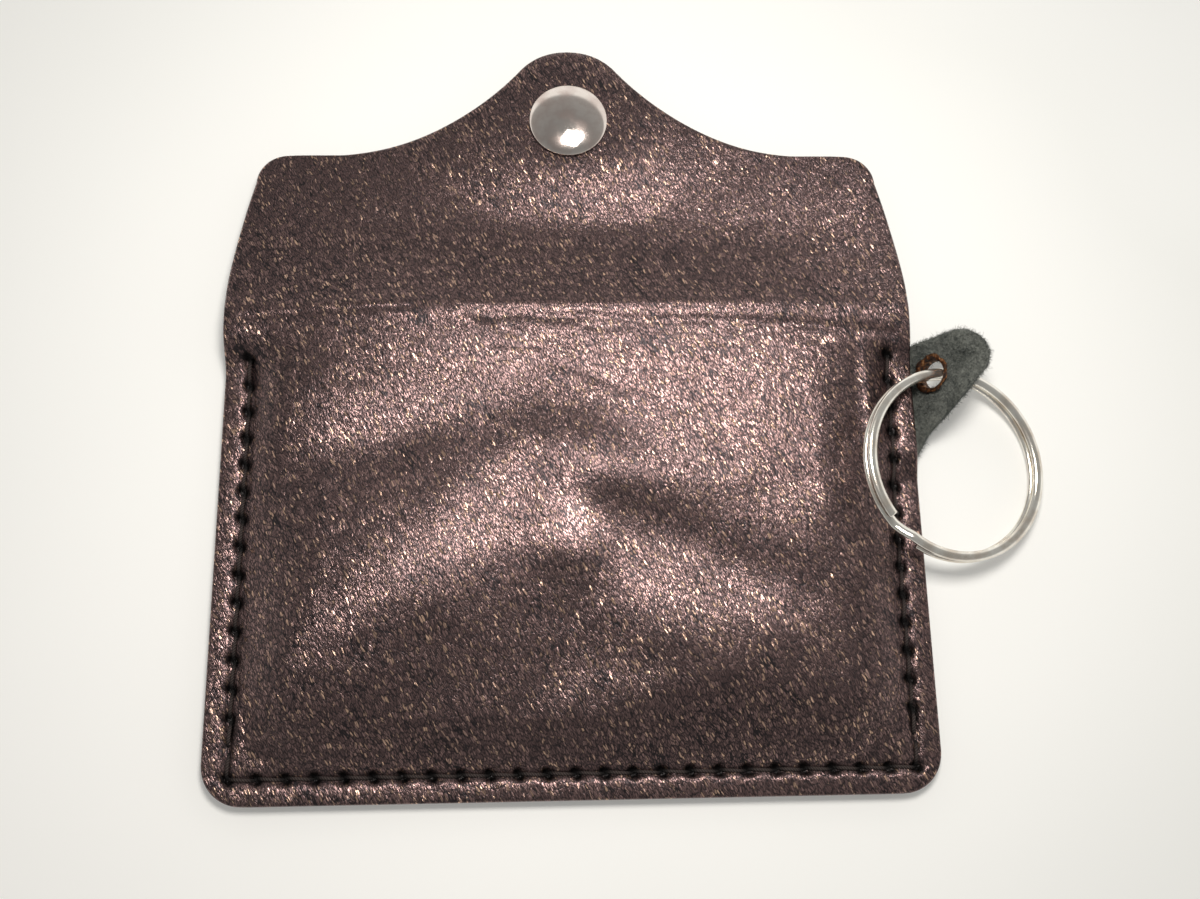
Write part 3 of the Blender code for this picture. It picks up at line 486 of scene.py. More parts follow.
def hole_shade(x, y):
    """How much painted slit shade a point gets: a slanting oval bell round each stitch hole."""
    shade = 0.0
    for px, py in zip(hole_x, hole_y):
        along, across = (x - px) - (y - py), (x - px) + (y - py)
        shade = np.maximum(shade, bell(along, SLIT_LONG) * bell(across, SLIT_WIDE))
    return np.clip(SLIT_SHADE_STRENGTH * shade, 0.0, 1.0)


def store_slit_shade(made, shade):
    """Keep on each point how much painted slit shade it gets, for the finishes to read."""
    holes = made.data.attributes.new("hole", 'FLOAT', 'POINT')
    holes.data.foreach_set("value", shade.astype(np.float32))


# %% [markdown]
# ## Leather sheets
# A sheet is a grid of points: shares of the half width across, and heights along. The upper
# and the lower grid are joined by a rim. The grid is closer near the seams and the edge,
# where the thread's pits and the rounded cut edge need it.

# %% Closed sheets
# how far in from a cut edge it is rounded, and how far it droops, each with its depth
EDGE_R, EDGE_DROP = mm(0.45, 0.30)
DROOP_RUN, DROOP_DROP = mm(3.2, 0.22)


def sheet_faces(rows, columns):
    """Faces of two grids joined by a rim, and the finish of each: 0 top, 1 under, 2 edge."""
    grid = np.arange(rows * columns).reshape(rows, columns)
    top = np.stack([grid[:-1, :-1], grid[:-1, 1:], grid[1:, 1:], grid[1:, :-1]], axis=-1)
    top = top.reshape(-1, 4)
    under = top[:, ::-1] + grid.size
    rim = np.concatenate([grid[0], grid[1:, -1], grid[-1, -2::-1], grid[-2:0:-1, 0]])
    after = np.roll(rim, -1)
    wall = np.stack([rim, rim + grid.size, after + grid.size, after], axis=1)
    index = np.repeat([0, 1, 2], [len(top), len(under), len(wall)])
    return np.concatenate([top, under, wall]), index


def closer(*runs):
    """One rising list of places from (start, end, steps) runs that share their ends."""
    parts = [np.linspace(start, end, steps, endpoint=False) for start, end, steps in runs]
    return np.concatenate(parts + [[runs[-1][1]]])


def rounded(depth):
    """How far a cut edge has worn down at a distance from it: a quarter of an ellipse."""
    share = np.clip(1.0 - depth / EDGE_R, 0.0, 1.0)
    droop = np.clip(1.0 - depth / DROOP_RUN, 0.0, 1.0)
    return EDGE_DROP * (1.0 - np.sqrt(1.0 - share ** 2)) + DROOP_DROP * droop ** 2


def leather_piece(name, across, along, half, under, over, finishes):
    """A closed sheet between the height functions under and over on a width function."""
    y = along[:, None] + np.zeros(len(across))
    x = across * half(along)[:, None]
    edge = (1.0 - np.abs(across)) * half(along)[:, None]
    low, high = under(x, y), over(x, y, edge)
    points = np.concatenate([in_frame(x, y, high), in_frame(x, y, low)])
    faces, index = sheet_faces(len(along), len(across))
    made = add_mesh(name, points, faces, finishes, index)
    made.data.set_sharp_from_angle(angle=radians(60.0))
    # painted shade in the stitch slits, for the finishes to read
    store_slit_shade(made, np.tile(hole_shade(x, y).ravel(), 2))
    print(name, len(made.data.polygons), "faces")
    return made


def pocket_half(y):
    """Half width of the pocket: straight sides, quarter-round bottom corners."""
    drop = np.clip(CORNER_R - y, 0.0, CORNER_R)
    return HALF_W - CORNER_R + np.sqrt(CORNER_R ** 2 - drop ** 2)


def flap_side(y):
    """Half width of the flap along its side, which leans in more and more."""
    return HALF_W - SIDE_LEAN * (np.clip(y - HINGE2_Y, 0, None) / SIDE_RUN) ** 1.6


def flap_half(y):
    """Half width of the flap: leaning side, round shoulder, hollow curve, round nose."""
    turn_in = np.clip(y - SIDE_END_Y, 0.0, SHOULDER_R)
    shoulder = flap_side(SIDE_END_Y) - SHOULDER_R + np.sqrt(SHOULDER_R ** 2 - turn_in ** 2)
    rise = BOW_R + SHOULDER_Y - NOSE_MID_Y
    bow_x = sqrt((BOW_R + NOSE_R) ** 2 - rise ** 2)
    meet_y = NOSE_MID_Y + NOSE_R * rise / (BOW_R + NOSE_R)
    hollow = bow_x - np.sqrt(np.clip(BOW_R ** 2 - (SHOULDER_Y + BOW_R - y) ** 2, 0, None))
    nose = np.sqrt(np.clip(NOSE_R ** 2 - (y - NOSE_MID_Y) ** 2, 0, None))
    return np.select([y <= SIDE_END_Y, y <= SHOULDER_Y, y <= meet_y],
                     [flap_side(y), shoulder, hollow], nose)


def half_width(y):
    """Half width of the whole leather, pocket and flap."""
    return np.where(y < HINGE2_Y, pocket_half(y), flap_half(y))


# %% [markdown]
# ## Finishes of the leather
# The grain side carries a thin metallic coating on a pebbled grain. Each pebble is a small
# mirror facing its own way, so the shine breaks into pink and copper sparks. The creases
# between pebbles are coloured charcoal, partly the grain's own darker tone and partly painted
# shade. Stretched Voronoi cells give the pebbles: the distance to a cell's border sets both
# the height and the colour, and the cell's own random value tints and tilts it. The flesh
# side and the cut edge are bare fibres.

# %% Leather finishes
# painted shade: nearly black inside the stitch slits
SLIT_SHADE_COLOUR = (0.006, 0.005, 0.005, 1.0)
# the creases' charcoal: partly the grain's own darker tone, partly painted shade
CREASE_TONE_AND_SHADE = (0.034, 0.028, 0.030, 1.0)
STRETCHED_AT = (0.5, 31.5, 7.5)


def millimetres(tree):
    """Object coordinates in millimetres."""
    place = node(tree, 'TexCoord').outputs["Object"]
    return node(tree, 'Mapping', place, Scale=(1000.0, 1000.0, 1000.0)).outputs[0]


def drawn_out(tree, place, degrees, scale):
    """Coordinates turned by an angle and then scaled, so that a pattern runs slantwise."""
    lean = node(tree, 'Mapping', place, Rotation=(0.0, 0.0, radians(degrees)))
    return node(tree, 'Mapping', lean.outputs[0], Scale=scale).outputs[0]


def shade_in_slits(tree, colour):
    """The colour, but painted nearly black as shade where a point lies in a slit of the seam."""
    hole = node(tree, 'Attribute', attribute_name="hole")
    return mixed(tree, hole.outputs["Fac"], colour, SLIT_SHADE_COLOUR)


def grain_finish():
    """Metallic grain: long cells, each a facet of its own colour and tilt, and dark creases that
    are partly painted shade.
    """
    made, tree = new_finish("bronze grain")
    place = millimetres(tree)
    sway = node(tree, 'TexNoise', place, Scale=0.25, Detail=1.0).outputs["Color"]
    bend = vectors(tree, 'MULTIPLY_ADD', sway, (0.8, 0.8, 0.0), place)
    long_way = drawn_out(tree, bend, 62.0, (0.60, 2.2, 0.9))
    cells = node(tree, 'TexVoronoi', long_way, feature='F1', Scale=1.85).outputs
    gaps = node(tree, 'TexVoronoi', long_way, feature='DISTANCE_TO_EDGE', Scale=1.85)
    fine = noise(tree, long_way, 2.0, 2.0)
    patch = noise(tree, place, 0.12, 3.0)
    # wrinkles: thin lines where a long noise crosses its middle value, only in patches
    long_noise = noise(tree, drawn_out(tree, bend, 52.0, (0.09, 0.55, 0.2)), 1.0, 2.0)
    wrinkle = ramp(tree, long_noise, ((0.480, 0.0), (0.50, 1.0), (0.520, 0.0)))
    where = ramp(tree, patch, ((0.46, 0.0), (0.60, 1.0)))
    lines = maths(tree, 'MULTIPLY', wrinkle, where)
    # creases are the thin gaps between cells, and wider where a wrinkle passes; their charcoal
    # colour is partly the grain's own and partly painted shade
    sunk = maths(tree, 'MULTIPLY_ADD', lines, -0.22, gaps.outputs["Distance"])
    tops = ramp(tree, sunk, ((0.02, 0.0), (0.20, 1.0)))
    draw = node(tree, 'SeparateColor', cells["Color"]).outputs[2]
    copper = ramp(tree, draw, ((0.0, (0.130, 0.083, 0.081)), (0.5, (0.192, 0.121, 0.116)),
                               (0.85, (0.33, 0.208, 0.192)), (1.0, (0.70, 0.46, 0.33))))
    colour = shade_in_slits(tree, mixed(tree, tops, CREASE_TONE_AND_SHADE, copper))
    # over the stud the leather is stretched: smoother and flatter
    reach = maths(tree, 'MULTIPLY', vectors(tree, 'DISTANCE', place, STRETCHED_AT), 0.1)
    stretched = ramp(tree, reach, ((0.12, 1.0), (0.62, 0.0)))
    shine = ramp(tree, patch, ((0.3, 0.24), (0.7, 0.30)))
    smoother = maths(tree, 'MULTIPLY_ADD', stretched, -0.02, shine)
    gloss = mixed(tree, tops, 0.36, smoother, 'FLOAT')
    calm = maths(tree, 'MULTIPLY_ADD', stretched, -0.72, 1.0)
    # a facet's height is how far along its cell's own random way a point lies: most
    # facets lie nearly flat, a few lean far and glint on their own
    inside = vectors(tree, 'SUBTRACT', long_way, cells["Position"])
    way = vectors(tree, 'SUBTRACT', cells["Color"], (0.5, 0.5, 0.5))
    facet = vectors(tree, 'DOT_PRODUCT', inside, way)
    rare = maths(tree, 'POWER', draw, 4.0)
    steep = maths(tree, 'MULTIPLY_ADD', rare, 2.2, 0.45)
    leaning = maths(tree, 'MULTIPLY', facet, steep)
    relief = maths(tree, 'MULTIPLY_ADD', fine, 0.64, leaning)
    level = maths(tree, 'MULTIPLY', relief, calm)
    return dressed(made, {"Base Color": colour, "Roughness": gloss, "Metallic": 0.85},
                   ((tops, 0.7, 0.022), (level, 0.8, 0.20)))


def suede_finish(name, dark, pale):
    """Bare fibres: a fine tangled noise for tone and height, with a soft sheen."""
    made, tree = new_finish(name)
    place = millimetres(tree)
    nap = noise(tree, place, 2.4, 5.0, Distortion=1.2)
    blot = noise(tree, place, 0.30, 2.0)
    both = maths(tree, 'MULTIPLY_ADD', blot, 0.6, nap)
    tone = ramp(tree, both, ((0.55, dark), (1.0, pale)))
    return dressed(made, {"Base Color": tone, "Roughness": 0.95, "Specular IOR Level": 0.15,
                          "Sheen Weight": 0.35, "Sheen Tint": (0.55, 0.62, 0.62, 1.0)},
                   ((nap, 0.8, 0.25),))


grain = grain_finish()
flesh = suede_finish("flesh side", (0.030, 0.036, 0.036), (0.105, 0.120, 0.118))
raw_edge = suede_finish("cut edge", (0.012, 0.011, 0.010), (0.060, 0.052, 0.046))
suede = suede_finish("tab suede", (0.018, 0.020, 0.018), (0.165, 0.170, 0.150))
leather_finishes = [grain, flesh, raw_edge]
print("grain, flesh side, cut edge, suede")

# %% [markdown]
# ## Back and flap
# Back and flap are one piece of leather. It is made here as two sheets that share the line
# where they meet on the fold, which bends twice.

# %% Back and flap
# shares of the half width: where the columns come closer, and how close to the seam most
SIDE_SHARE, CLOSE_SHARE = 0.885, 0.022
SEAM_SHARE = SEAM_X / HALF_W
HOLE_STEP = 2 * SEAM_X / (LOW_HOLES - 1)
NEAR_COLUMNS_MM = (0.0, 0.3, 0.62, 1.2, 2.05, 2.9, 3.49, 3.81)
NEAR_ROWS_MM = (-0.62, -0.3, 0.0, 0.3, 0.62, 1.2, 1.75, 2.35, 2.95)
LOW_RUNS = ((0.0, 0.5 * MM, 5), (0.5 * MM, 2.4 * MM, 8), (2.4 * MM, 5.2 * MM, 14))


def mirrored(half):
    """Places on both sides of zero, from those on one side."""
    return np.concatenate([-half[:0:-1], half])


def leather_over(x, y, edge):
    """Upper face of the leather: a thickness above the lower face, with creases and seam."""
    worn = rounded(edge) + rounded(y)
    worn = worn + np.where(y > NOSE_MID_Y, rounded((NOSE_Y - y) * 2), 0.0)
    return leather_under(x, y) + LEATHER + creases(x, y) - seam_pull(x, y) - worn


hole_columns = (np.arange(LOW_HOLES // 2)[:, None] * HOLE_STEP
                + np.array(NEAR_COLUMNS_MM) * MM).ravel()
hole_columns = hole_columns[hole_columns < SIDE_SHARE * HALF_W] / HALF_W
seam_columns = closer((SIDE_SHARE, SEAM_SHARE - CLOSE_SHARE, 8),
                      (SEAM_SHARE - CLOSE_SHARE, SEAM_SHARE + CLOSE_SHARE, 12),
                      (SEAM_SHARE + CLOSE_SHARE, 0.99, 8), (0.99, 1.0, 5))
columns = mirrored(np.concatenate([hole_columns, seam_columns]))
hole_rows = (side_y[:-1][::-1][:, None] + np.array(NEAR_ROWS_MM) * MM).ravel()
low_rows = closer(*LOW_RUNS, (5.2 * MM, 7.1 * MM, 4))
low_rows = np.concatenate([low_rows[:-1], hole_rows[hole_rows > 7.0 * MM]])
back_rows = np.concatenate([low_rows, closer((low_rows[-1], JOIN_Y, 22))[1:]])
back = leather_piece("back_leather", columns, back_rows, half_width,
                     leather_under, leather_over, leather_finishes)
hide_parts("back_panel", "fold_strip")
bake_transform(back)

flap_columns = mirrored(closer((0.0, 0.97, 80), (0.97, 1.0, 7)))
quarter = pi / 2
flap_rows = np.concatenate([
    np.linspace(JOIN_Y, SIDE_END_Y, 56)[:-1],
    SIDE_END_Y + SHOULDER_R * np.sin(np.linspace(0.0, quarter, 18))[:-1],
    SHOULDER_Y + (NOSE_MID_Y - SHOULDER_Y) * np.linspace(0.0, 1.0, 48)[:-1] ** 2,
    NOSE_MID_Y + NOSE_R * np.sin(np.linspace(0.0, 0.995 * quarter, 36))])
flap_leather = leather_piece("flap_leather", flap_columns, flap_rows, half_width,
                             leather_under, leather_over, leather_finishes)
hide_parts("flap")
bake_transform(flap_leather)

# %% [markdown]
# ## Front of the pocket
# The front panel lies on the table with its grain side down, so its finishes are turned
# over: flesh side inside the pocket, grain outside. It is flat but for a dome over the stud.

# %% Front panel
DOME_H, DOME_R, DOME_RUN = mm(3.7, 17.0, 9.2)


def front_under(x, y):
    """Outer face of the front, which lies down: flat, with a dome over the stud."""
    return DOME_H * ease((DOME_R - np.hypot(x, y - STUD_Y)) / DOME_RUN)


def front_low(x, y):
    """The outer face with the thread's pull and its worn edge."""
    edge = np.minimum(np.minimum(pocket_half(y) - np.abs(x), y), FRONT_H - y)
    return front_under(x, y) + seam_pull(x, y) + rounded(edge)


def front_high(x, y, edge):
    """The inner face, a thickness above."""
    return front_under(x, y) + LEATHER


front_rows = closer(*LOW_RUNS, (5.2 * MM, 67.4 * MM, 120), (67.4 * MM, FRONT_H, 5))
front = leather_piece("front_leather", columns, front_rows, pocket_half,
                      front_low, front_high, [flesh, grain, raw_edge])
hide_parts("front_panel")
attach(front, "wallet")

# %% [markdown]
# ## Tubes along a path
# Thread, split ring and fibres are all a small section carried along a path. The section is
# set square to the path with a direction that points up at the start and is kept level with
# the path's own plane, so that it doesn't twist by itself.

# %% Sections along a path
def circle(sides):
    """Angles all round, without the last one, which would fall on the first."""
    return np.linspace(0.0, 2 * pi, sides, endpoint=False)


def tube_faces(steps, sides, closed=False):
    """Faces of a tube of sections, closed on itself or with a flat cap at each end."""
    grid = np.arange(steps * sides).reshape(steps, sides)
    beside = np.roll(grid, -1, axis=1)
    skin = np.stack([grid, beside, np.roll(beside, -1, axis=0), np.roll(grid, -1, axis=0)], axis=-1)
    if closed:
        return skin.reshape(-1, 4).tolist()
    return skin[:-1].reshape(-1, 4).tolist() + [grid[0, ::-1].tolist(), grid[-1].tolist()]


def carried(path, outs, ups, section):
    """Points of a section carried along a path: path + out x across + up x height."""
    return (path[:, None, :] + outs[:, None, :] * section[None, :, 0, None]
            + ups[:, None, :] * section[None, :, 1, None])


def oval(wide, high, turn):
    """A section: an oval of two radii, as points at angles."""
    return np.stack([wide * np.cos(turn), high * np.sin(turn)], axis=1)


def unit(rows):
    """Each row's direction, as a vector of length one."""
    return rows / np.linalg.norm(rows, axis=1)[:, None]


def add_uv(made, u, v):
    """A UV map from a value along and a value around each vertex."""
    layer = made.data.uv_layers.new(name="along")
    index = np.zeros(len(made.data.loops), dtype=np.int32)
    made.data.loops.foreach_get("vertex_index", index)
    pairs = np.stack([u[index], v[index]], axis=1)
    layer.data.foreach_set("uv", pairs.ravel().astype(np.float32))


# %% [markdown]
# ## Stitches
# The two ends of the thread take turns on top. On its way from hole to hole a stitch rises
# out of the slit, lies in the groove with a slight slant, and dives again. The thread is
# three waxed strands laid in a twist, which its finish draws along the tube.

# %% Stitches
THREAD_R, THREAD_SINK = mm(0.27, 0.50)
DIVE_TOP, DIVE_LOW, STITCH_SLANT = mm(0.55, -0.30, 0.16)
TWISTS_PER_MM, TWISTS_ROUND = 1.6, 2.0


def thread_finish():
    """Waxed twisted thread: slanting bands along the tube for tone and height, and painted shade
    where it dives into a slit.
    """
    made, tree = new_finish("waxed thread")
    along = node(tree, 'UVMap', uv_map="along").outputs[0]
    strand = node(tree, 'TexWave', along, Scale=1.0, Distortion=0.6,
                  bands_direction='DIAGONAL').outputs[0]
    fuzz = noise(tree, along, 9.0, 3.0)
    tone = ramp(tree, strand, ((0.0, (0.020, 0.0155, 0.0145)), (1.0, (0.075, 0.055, 0.050))))
    # painted shade: the thread's colour goes nearly black where it dives into a slit
    return dressed(made, {"Base Color": shade_in_slits(tree, tone), "Roughness": 0.70,
                          "Specular IOR Level": 0.2}, ((strand, 0.7, 0.12), (fuzz, 0.4, 0.04)))


def stitch_path(first_on_top):
    """The thread's middle line: over one face, down a slit, along the other face."""
    top = leather_under(hole_x, hole_y) + LEATHER - THREAD_SINK
    low = np.full(len(hole_x), THREAD_SINK)
    ways = unit(np.stack([np.gradient(hole_x), np.gradient(hole_y)], axis=1))
    side = np.stack([-ways[:, 1], ways[:, 0]], axis=1) * STITCH_SLANT
    share = np.linspace(0.0, 1.0, 11)
    arch = np.sin(pi * share) ** 0.55
    holes = np.stack([hole_x, hole_y], axis=1)
    stops = []
    for number in range(len(hole_x) - 1):
        on_top = (number % 2 == 0) == first_on_top
        face, dive = (top, DIVE_TOP) if on_top else (low, DIVE_LOW)
        start, end = holes[number] + side[number], holes[number + 1] - side[number + 1]
        flat = start + (end - start) * (0.07 + 0.86 * share[:, None])
        level = face[number] + (face[number + 1] - face[number]) * share
        stops.append(np.column_stack([flat, level - dive * (1.0 - arch)]))
    return np.concatenate(stops)


def add_thread(name, node_name, first_on_top):
    """One needle's thread as a tube along its path."""
    line = stitch_path(first_on_top)
    path = in_frame(*line.T)
    ways = unit(np.gradient(path, axis=0))
    flat = np.stack([ways[:, 1], -ways[:, 0], np.zeros(len(ways))], axis=1)
    outs = flat / np.maximum(np.linalg.norm(flat, axis=1), 1e-9)[:, None]
    turn = circle(10)
    points = carried(path, outs, -np.cross(ways, outs), oval(THREAD_R, THREAD_R, turn))
    made = add_mesh(name, points, tube_faces(len(path), len(turn)), [thread])
    steps = np.linalg.norm(np.diff(path, axis=0), axis=1)
    travelled = np.concatenate([[0.0], np.cumsum(steps)])
    add_uv(made, np.repeat(travelled / MM * TWISTS_PER_MM, len(turn)),
           np.tile(turn / (2 * pi) * TWISTS_ROUND, len(path)))
    # painted shade where the thread dives into a slit
    store_slit_shade(made, np.repeat(hole_shade(line[:, 0], line[:, 1]), len(turn)))
    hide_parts(node_name)
    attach(made, "wallet")


thread = thread_finish()
add_thread("stitches_a", "seam_thread_a", True)
add_thread("stitches_b", "seam_thread_b", False)
print("stitches on top:", (len(hole_x) - 1))

# %% [markdown]
# ## Turned metal
# Every piece of the snap is stamped or turned round one axis. Its outline is drawn as points
# of radius and height, and carried round the axis. Where two faces meet, a small arc stands
# for the rolled or worn edge, because it is what catches the light.

# %% Turned pieces
def arc(centre, radius, start, end, steps=6):
    """Points of an arc round centre, from one angle in degrees to another."""
    turn = np.radians(np.linspace(start, end, steps))
    return [(centre[0] + radius * cos(t), centre[1] + radius * sin(t)) for t in turn]


def turned(name, outline, y, finish, closed=True):
    """An outline in millimetres carried round a vertical axis on the centre line."""
    line = np.array(outline) * MM
    turn = circle(96)
    points = in_frame(line[:, :1] * np.cos(turn), y + line[:, :1] * np.sin(turn),
                      line[:, 1:] + np.zeros(len(turn)))
    return add_mesh(name, points, tube_faces(len(line), len(turn), closed), [finish])


def metal_finish(name, colour, worn, rough, scratch, metallic=1.0):
    """Plated metal: fine scratches and cloudy wear in tone, roughness and height."""
    made, tree = new_finish(name)
    place = millimetres(tree)
    wear = noise(tree, place, 0.35, 4.0)
    lines = node(tree, 'Mapping', place, Rotation=(0.0, 0.0, 0.6), Scale=(0.6, 7.0, 2.0))
    marks = noise(tree, lines.outputs[0], 1.4, 5.0)
    tone = ramp(tree, wear, ((0.35, worn), (0.6, colour)))
    gloss = ramp(tree, wear, ((0.35, rough + 0.12), (0.65, rough)))
    return dressed(made, {"Base Color": tone, "Roughness": gloss, "Metallic": metallic},
                   ((marks, scratch, 0.012),))


bright = metal_finish("bright nickel", (0.88, 0.85, 0.78), (0.66, 0.59, 0.51), 0.12, 0.05, 0.90)
dull = metal_finish("snap nickel", (0.62, 0.60, 0.56), (0.50, 0.47, 0.43), 0.24, 0.35)
steel = metal_finish("spring steel", (0.50, 0.50, 0.50), (0.36, 0.35, 0.34), 0.30, 0.40)
polished = metal_finish("cap nickel", (0.84, 0.76, 0.70), (0.66, 0.55, 0.50), 0.07, 0.20)
print("plated, worn, spring and polished metal")

# %% [markdown]
# ## Snap
# A snap is four stamped parts. The cap's post goes through the flap and is flared inside the
# socket; the eyelet's post goes through the front of the pocket into the stud. The socket's
# mouth has a rolled lip round the split spring that grips the stud's neck.

# %% Snap
# radii and heights above the table in millimetres
CAP_R, CAP_RISE, CAP_SEAT, CAP_POST = 6.25, 1.55, 5.1, 1.5
PIN_R = 0.03
dome = [(CAP_R * cos(t), CAP_SEAT + 0.35 + CAP_RISE * sin(t) ** 1.5)
        for t in np.linspace(quarter * 0.985, 0.0, 30)]
cap_line = dome + arc((CAP_R - 0.18, CAP_SEAT + 0.20), 0.18, 0, -100, 6)
cap_line += [(5.6, CAP_SEAT + 0.02), (CAP_POST, CAP_SEAT), (CAP_POST, 2.8), (2.2, 2.8)]
cap_line += [(2.3, 2.72), (2.2, 2.55), (1.0, 2.55), (1.0, 3.9)]
cap = turned("snap_cap_dome", cap_line, SNAP_Y, polished, closed=False)
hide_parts("snap_cap")
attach(cap, "flap")

socket_line = arc((3.35, 0.15), 0.15, 180, 270, 5) + arc((4.35, 0.25), 0.25, 270, 360, 6)
socket_line += [(4.6, 2.0), (4.68, 2.2)] + arc((5.5, 2.85), 0.3, -70, 0, 5)
socket_line += arc((5.6, 3.4), 0.2, 0, 90, 5) + [(1.8, 3.6), (1.8, 3.0), (3.4, 3.0)]
socket_line += [(3.4, 0.32), (3.2, 0.30)]
socket = turned("snap_socket_cup", socket_line, SNAP_Y, dull)
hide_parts("snap_socket")
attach(socket, "flap")

stud_line = [(PIN_R, 0.0)] + arc((2.45, 0.45), 0.45, 270, 400, 9)
stud_line += [(2.42, 0.98), (2.3, 1.15), (2.3, 2.45), (2.45, 2.6), (5.0, 2.6)]
stud_line += arc((5.0, 2.8), 0.2, -80, 0, 4) + arc((5.0, 3.2), 0.2, 0, 90, 5)
stud_line += [(1.7, 3.4), (1.5, 3.2), (1.5, 0.8), (PIN_R, 0.8)]
stud = turned("snap_stud_post", stud_line, STUD_Y, dull)
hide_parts("snap_stud")
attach(stud, "wallet")

washer_line = [(PIN_R, 5.35)] + arc((4.3, 5.13), 0.2, 90, -90, 9)
washer_line += [(1.35, 4.9), (1.2, 4.75), (1.2, 1.1), (PIN_R, 1.1)]
washer = turned("snap_eyelet_washer", washer_line, STUD_Y, dull)
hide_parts("snap_eyelet")
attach(washer, "wallet")
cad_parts["socket_spring"].data.materials.clear()
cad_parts["socket_spring"].data.materials.append(steel)
print("snap: cap, socket, spring, stud, eyelet")

# %% [markdown]
# ## Key tab
# The tab is a strip of suede with its root sewn between the panels. It bends up at the
# wallet's edge, carries the ring in its hole, and levels out at the tip. The middle line is
# two arcs and the straights between them; the outline is two edges that run into a round tip.

# %% Key tab
TAB_LOW, TAB_HIGH, TAB_T = mm(50.9, 67.6, 1.0)
TAB_TIP_X, TAB_TIP_Y, TAB_TIP_R = mm(59.6, 64.2, 3.8)
TAB_ROOT_X, TAB_BEND_X, TAB_END_X = 46.2 * MM, HALF_W + 0.15 * MM, 63.37 * MM
BEND_R, BACK_BEND_R, PAST_HOLE = mm(1.0, 2.0, 1.8)
FLARE, FLARE_IN, FLARE_W = mm(1.3, 0.2, 1.1)
CUT_WAVE, FACE_WAVE = mm(0.10, 0.05)
RISE = radians(56.0)
HOLE = np.array((55.9981, 53.0, 5.2342)) * MM


def tab_line():
    """The tab's middle line as x, z and slope: root, bend up, ramp, bend back, level tip."""
    bend = np.linspace(0.0, RISE, 10)
    back_bend = bend[::-1]
    start_z = SEWN_Z + TAB_T / 2
    top_x, top_z = HOLE[0] + PAST_HOLE, HOLE[2] + PAST_HOLE * tan(RISE)
    out_x = top_x + BACK_BEND_R * sin(RISE)
    out_z = top_z - BACK_BEND_R * cos(RISE)
    root_x = np.linspace(TAB_ROOT_X, TAB_BEND_X, 16, endpoint=False)
    up_x = TAB_BEND_X + BEND_R * np.sin(bend)
    up_z = start_z + BEND_R * (1 - np.cos(bend))
    ramp_x = np.linspace(up_x[-1], top_x, 14)[1:-1]
    ramp_z = up_z[-1] + (ramp_x - up_x[-1]) * tan(RISE)
    over_x = out_x - BACK_BEND_R * np.sin(back_bend)
    over_z = out_z + BACK_BEND_R * np.cos(back_bend)
    tip_x = over_x[-1] + (TAB_END_X - over_x[-1]) * np.sin(np.linspace(0, quarter, 20))[1:]
    root, ramp_part, tip = np.ones(len(root_x)), np.ones(len(ramp_x)), np.ones(len(tip_x))
    x = np.concatenate([root_x, up_x, ramp_x, over_x, tip_x])
    z = np.concatenate([root * start_z, up_z, ramp_z, over_z, tip * over_z[-1]])
    return x, z, np.concatenate([root * 0, bend, ramp_part * RISE, back_bend, tip * 0])


def tab_edge(x, start_y, side):
    """One edge of the tab: straight from the wallet's edge to where the tip's arc begins."""
    run_x, run_y = TAB_TIP_X - HALF_W, (TAB_TIP_Y - start_y) * side
    slope = atan2(run_y, run_x) + asin(TAB_TIP_R / hypot(run_x, run_y))
    touch_x = TAB_TIP_X - TAB_TIP_R * sin(slope)
    straight = start_y + side * np.clip(x - HALF_W, 0, None) * tan(slope)
    straight -= (side < 0) * FLARE * bell(x - HALF_W - FLARE_IN, FLARE_W)
    arc_y = TAB_TIP_Y + side * np.sqrt(np.clip(TAB_TIP_R ** 2 - (x - TAB_TIP_X) ** 2, 0, None))
    return np.where(x <= touch_x, straight, arc_y)


def build_tab():
    """The tab as a tube of flat sections with rounded edges and a slightly wavy cut."""
    x, z, slope = tab_line()
    low, high = tab_edge(x, TAB_LOW, -1.0), tab_edge(x, TAB_HIGH, 1.0)
    turn = circle(72)
    flat = np.sign(np.cos(turn)) * np.abs(np.cos(turn)) ** 0.55
    lift = np.sign(np.sin(turn)) * np.abs(np.sin(turn)) ** 0.30 * TAB_T * 0.52
    y = (low + high)[:, None] / 2 + (high - low)[:, None] / 2 * flat
    y = y + CUT_WAVE * cloud(x[:, None] * 2, y, 1.4 * MM, 41) * np.abs(flat) ** 6
    lift = lift + FACE_WAVE * cloud(x[:, None], y, 1.2 * MM, 43) * np.sign(np.sin(turn))
    points = in_frame(x[:, None] - np.sin(slope)[:, None] * lift, y,
                      z[:, None] + np.cos(slope)[:, None] * lift)
    return add_mesh("key_tab_suede", points, tube_faces(len(x), len(turn)), [suede])


def punch(made, centre, axis, radius):
    """Cut a round hole through a piece with a Boolean, and keep the result as its mesh."""
    bpy.ops.mesh.primitive_cylinder_add(vertices=64, radius=radius, depth=6 * MM)
    punch_tool = bpy.context.active_object
    punch_tool.data.transform(Vector(axis).to_track_quat('Z', 'Y').to_matrix().to_4x4())
    punch_tool.data.transform(Matrix.Translation(centre))
    step = made.modifiers.new("hole", 'BOOLEAN')
    step.solver = 'EXACT'
    step.object = punch_tool
    deps = bpy.context.evaluated_depsgraph_get()
    cut = bpy.data.meshes.new_from_object(made.evaluated_get(deps))
    made.modifiers.remove(step)
    made.data = cut
    bpy.data.objects.remove(punch_tool, do_unlink=True)


tab = build_tab()
punch(tab, HOLE, (-sin(RISE), 0.0, cos(RISE)), 2.5 * MM)
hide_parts("key_tab", "tab_root")
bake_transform(tab)
print("tab", len(tab.data.polygons), "faces")

# %% [markdown]
# ## Nap of the suede
# Suede is leather with its fibres raised, and at a cut edge they stand out as fuzz. Single
# fibres catch the light in a way that a flat texture can't, so a few thousand short ones are
# rooted in the tab: a place and a way for each, drawn by chance over its faces, and all their
# points worked out at once.

# %% Nap
FIBRES, FIBRE_R, ROOTED = 8000, 0.030 * MM, 0.03 * MM


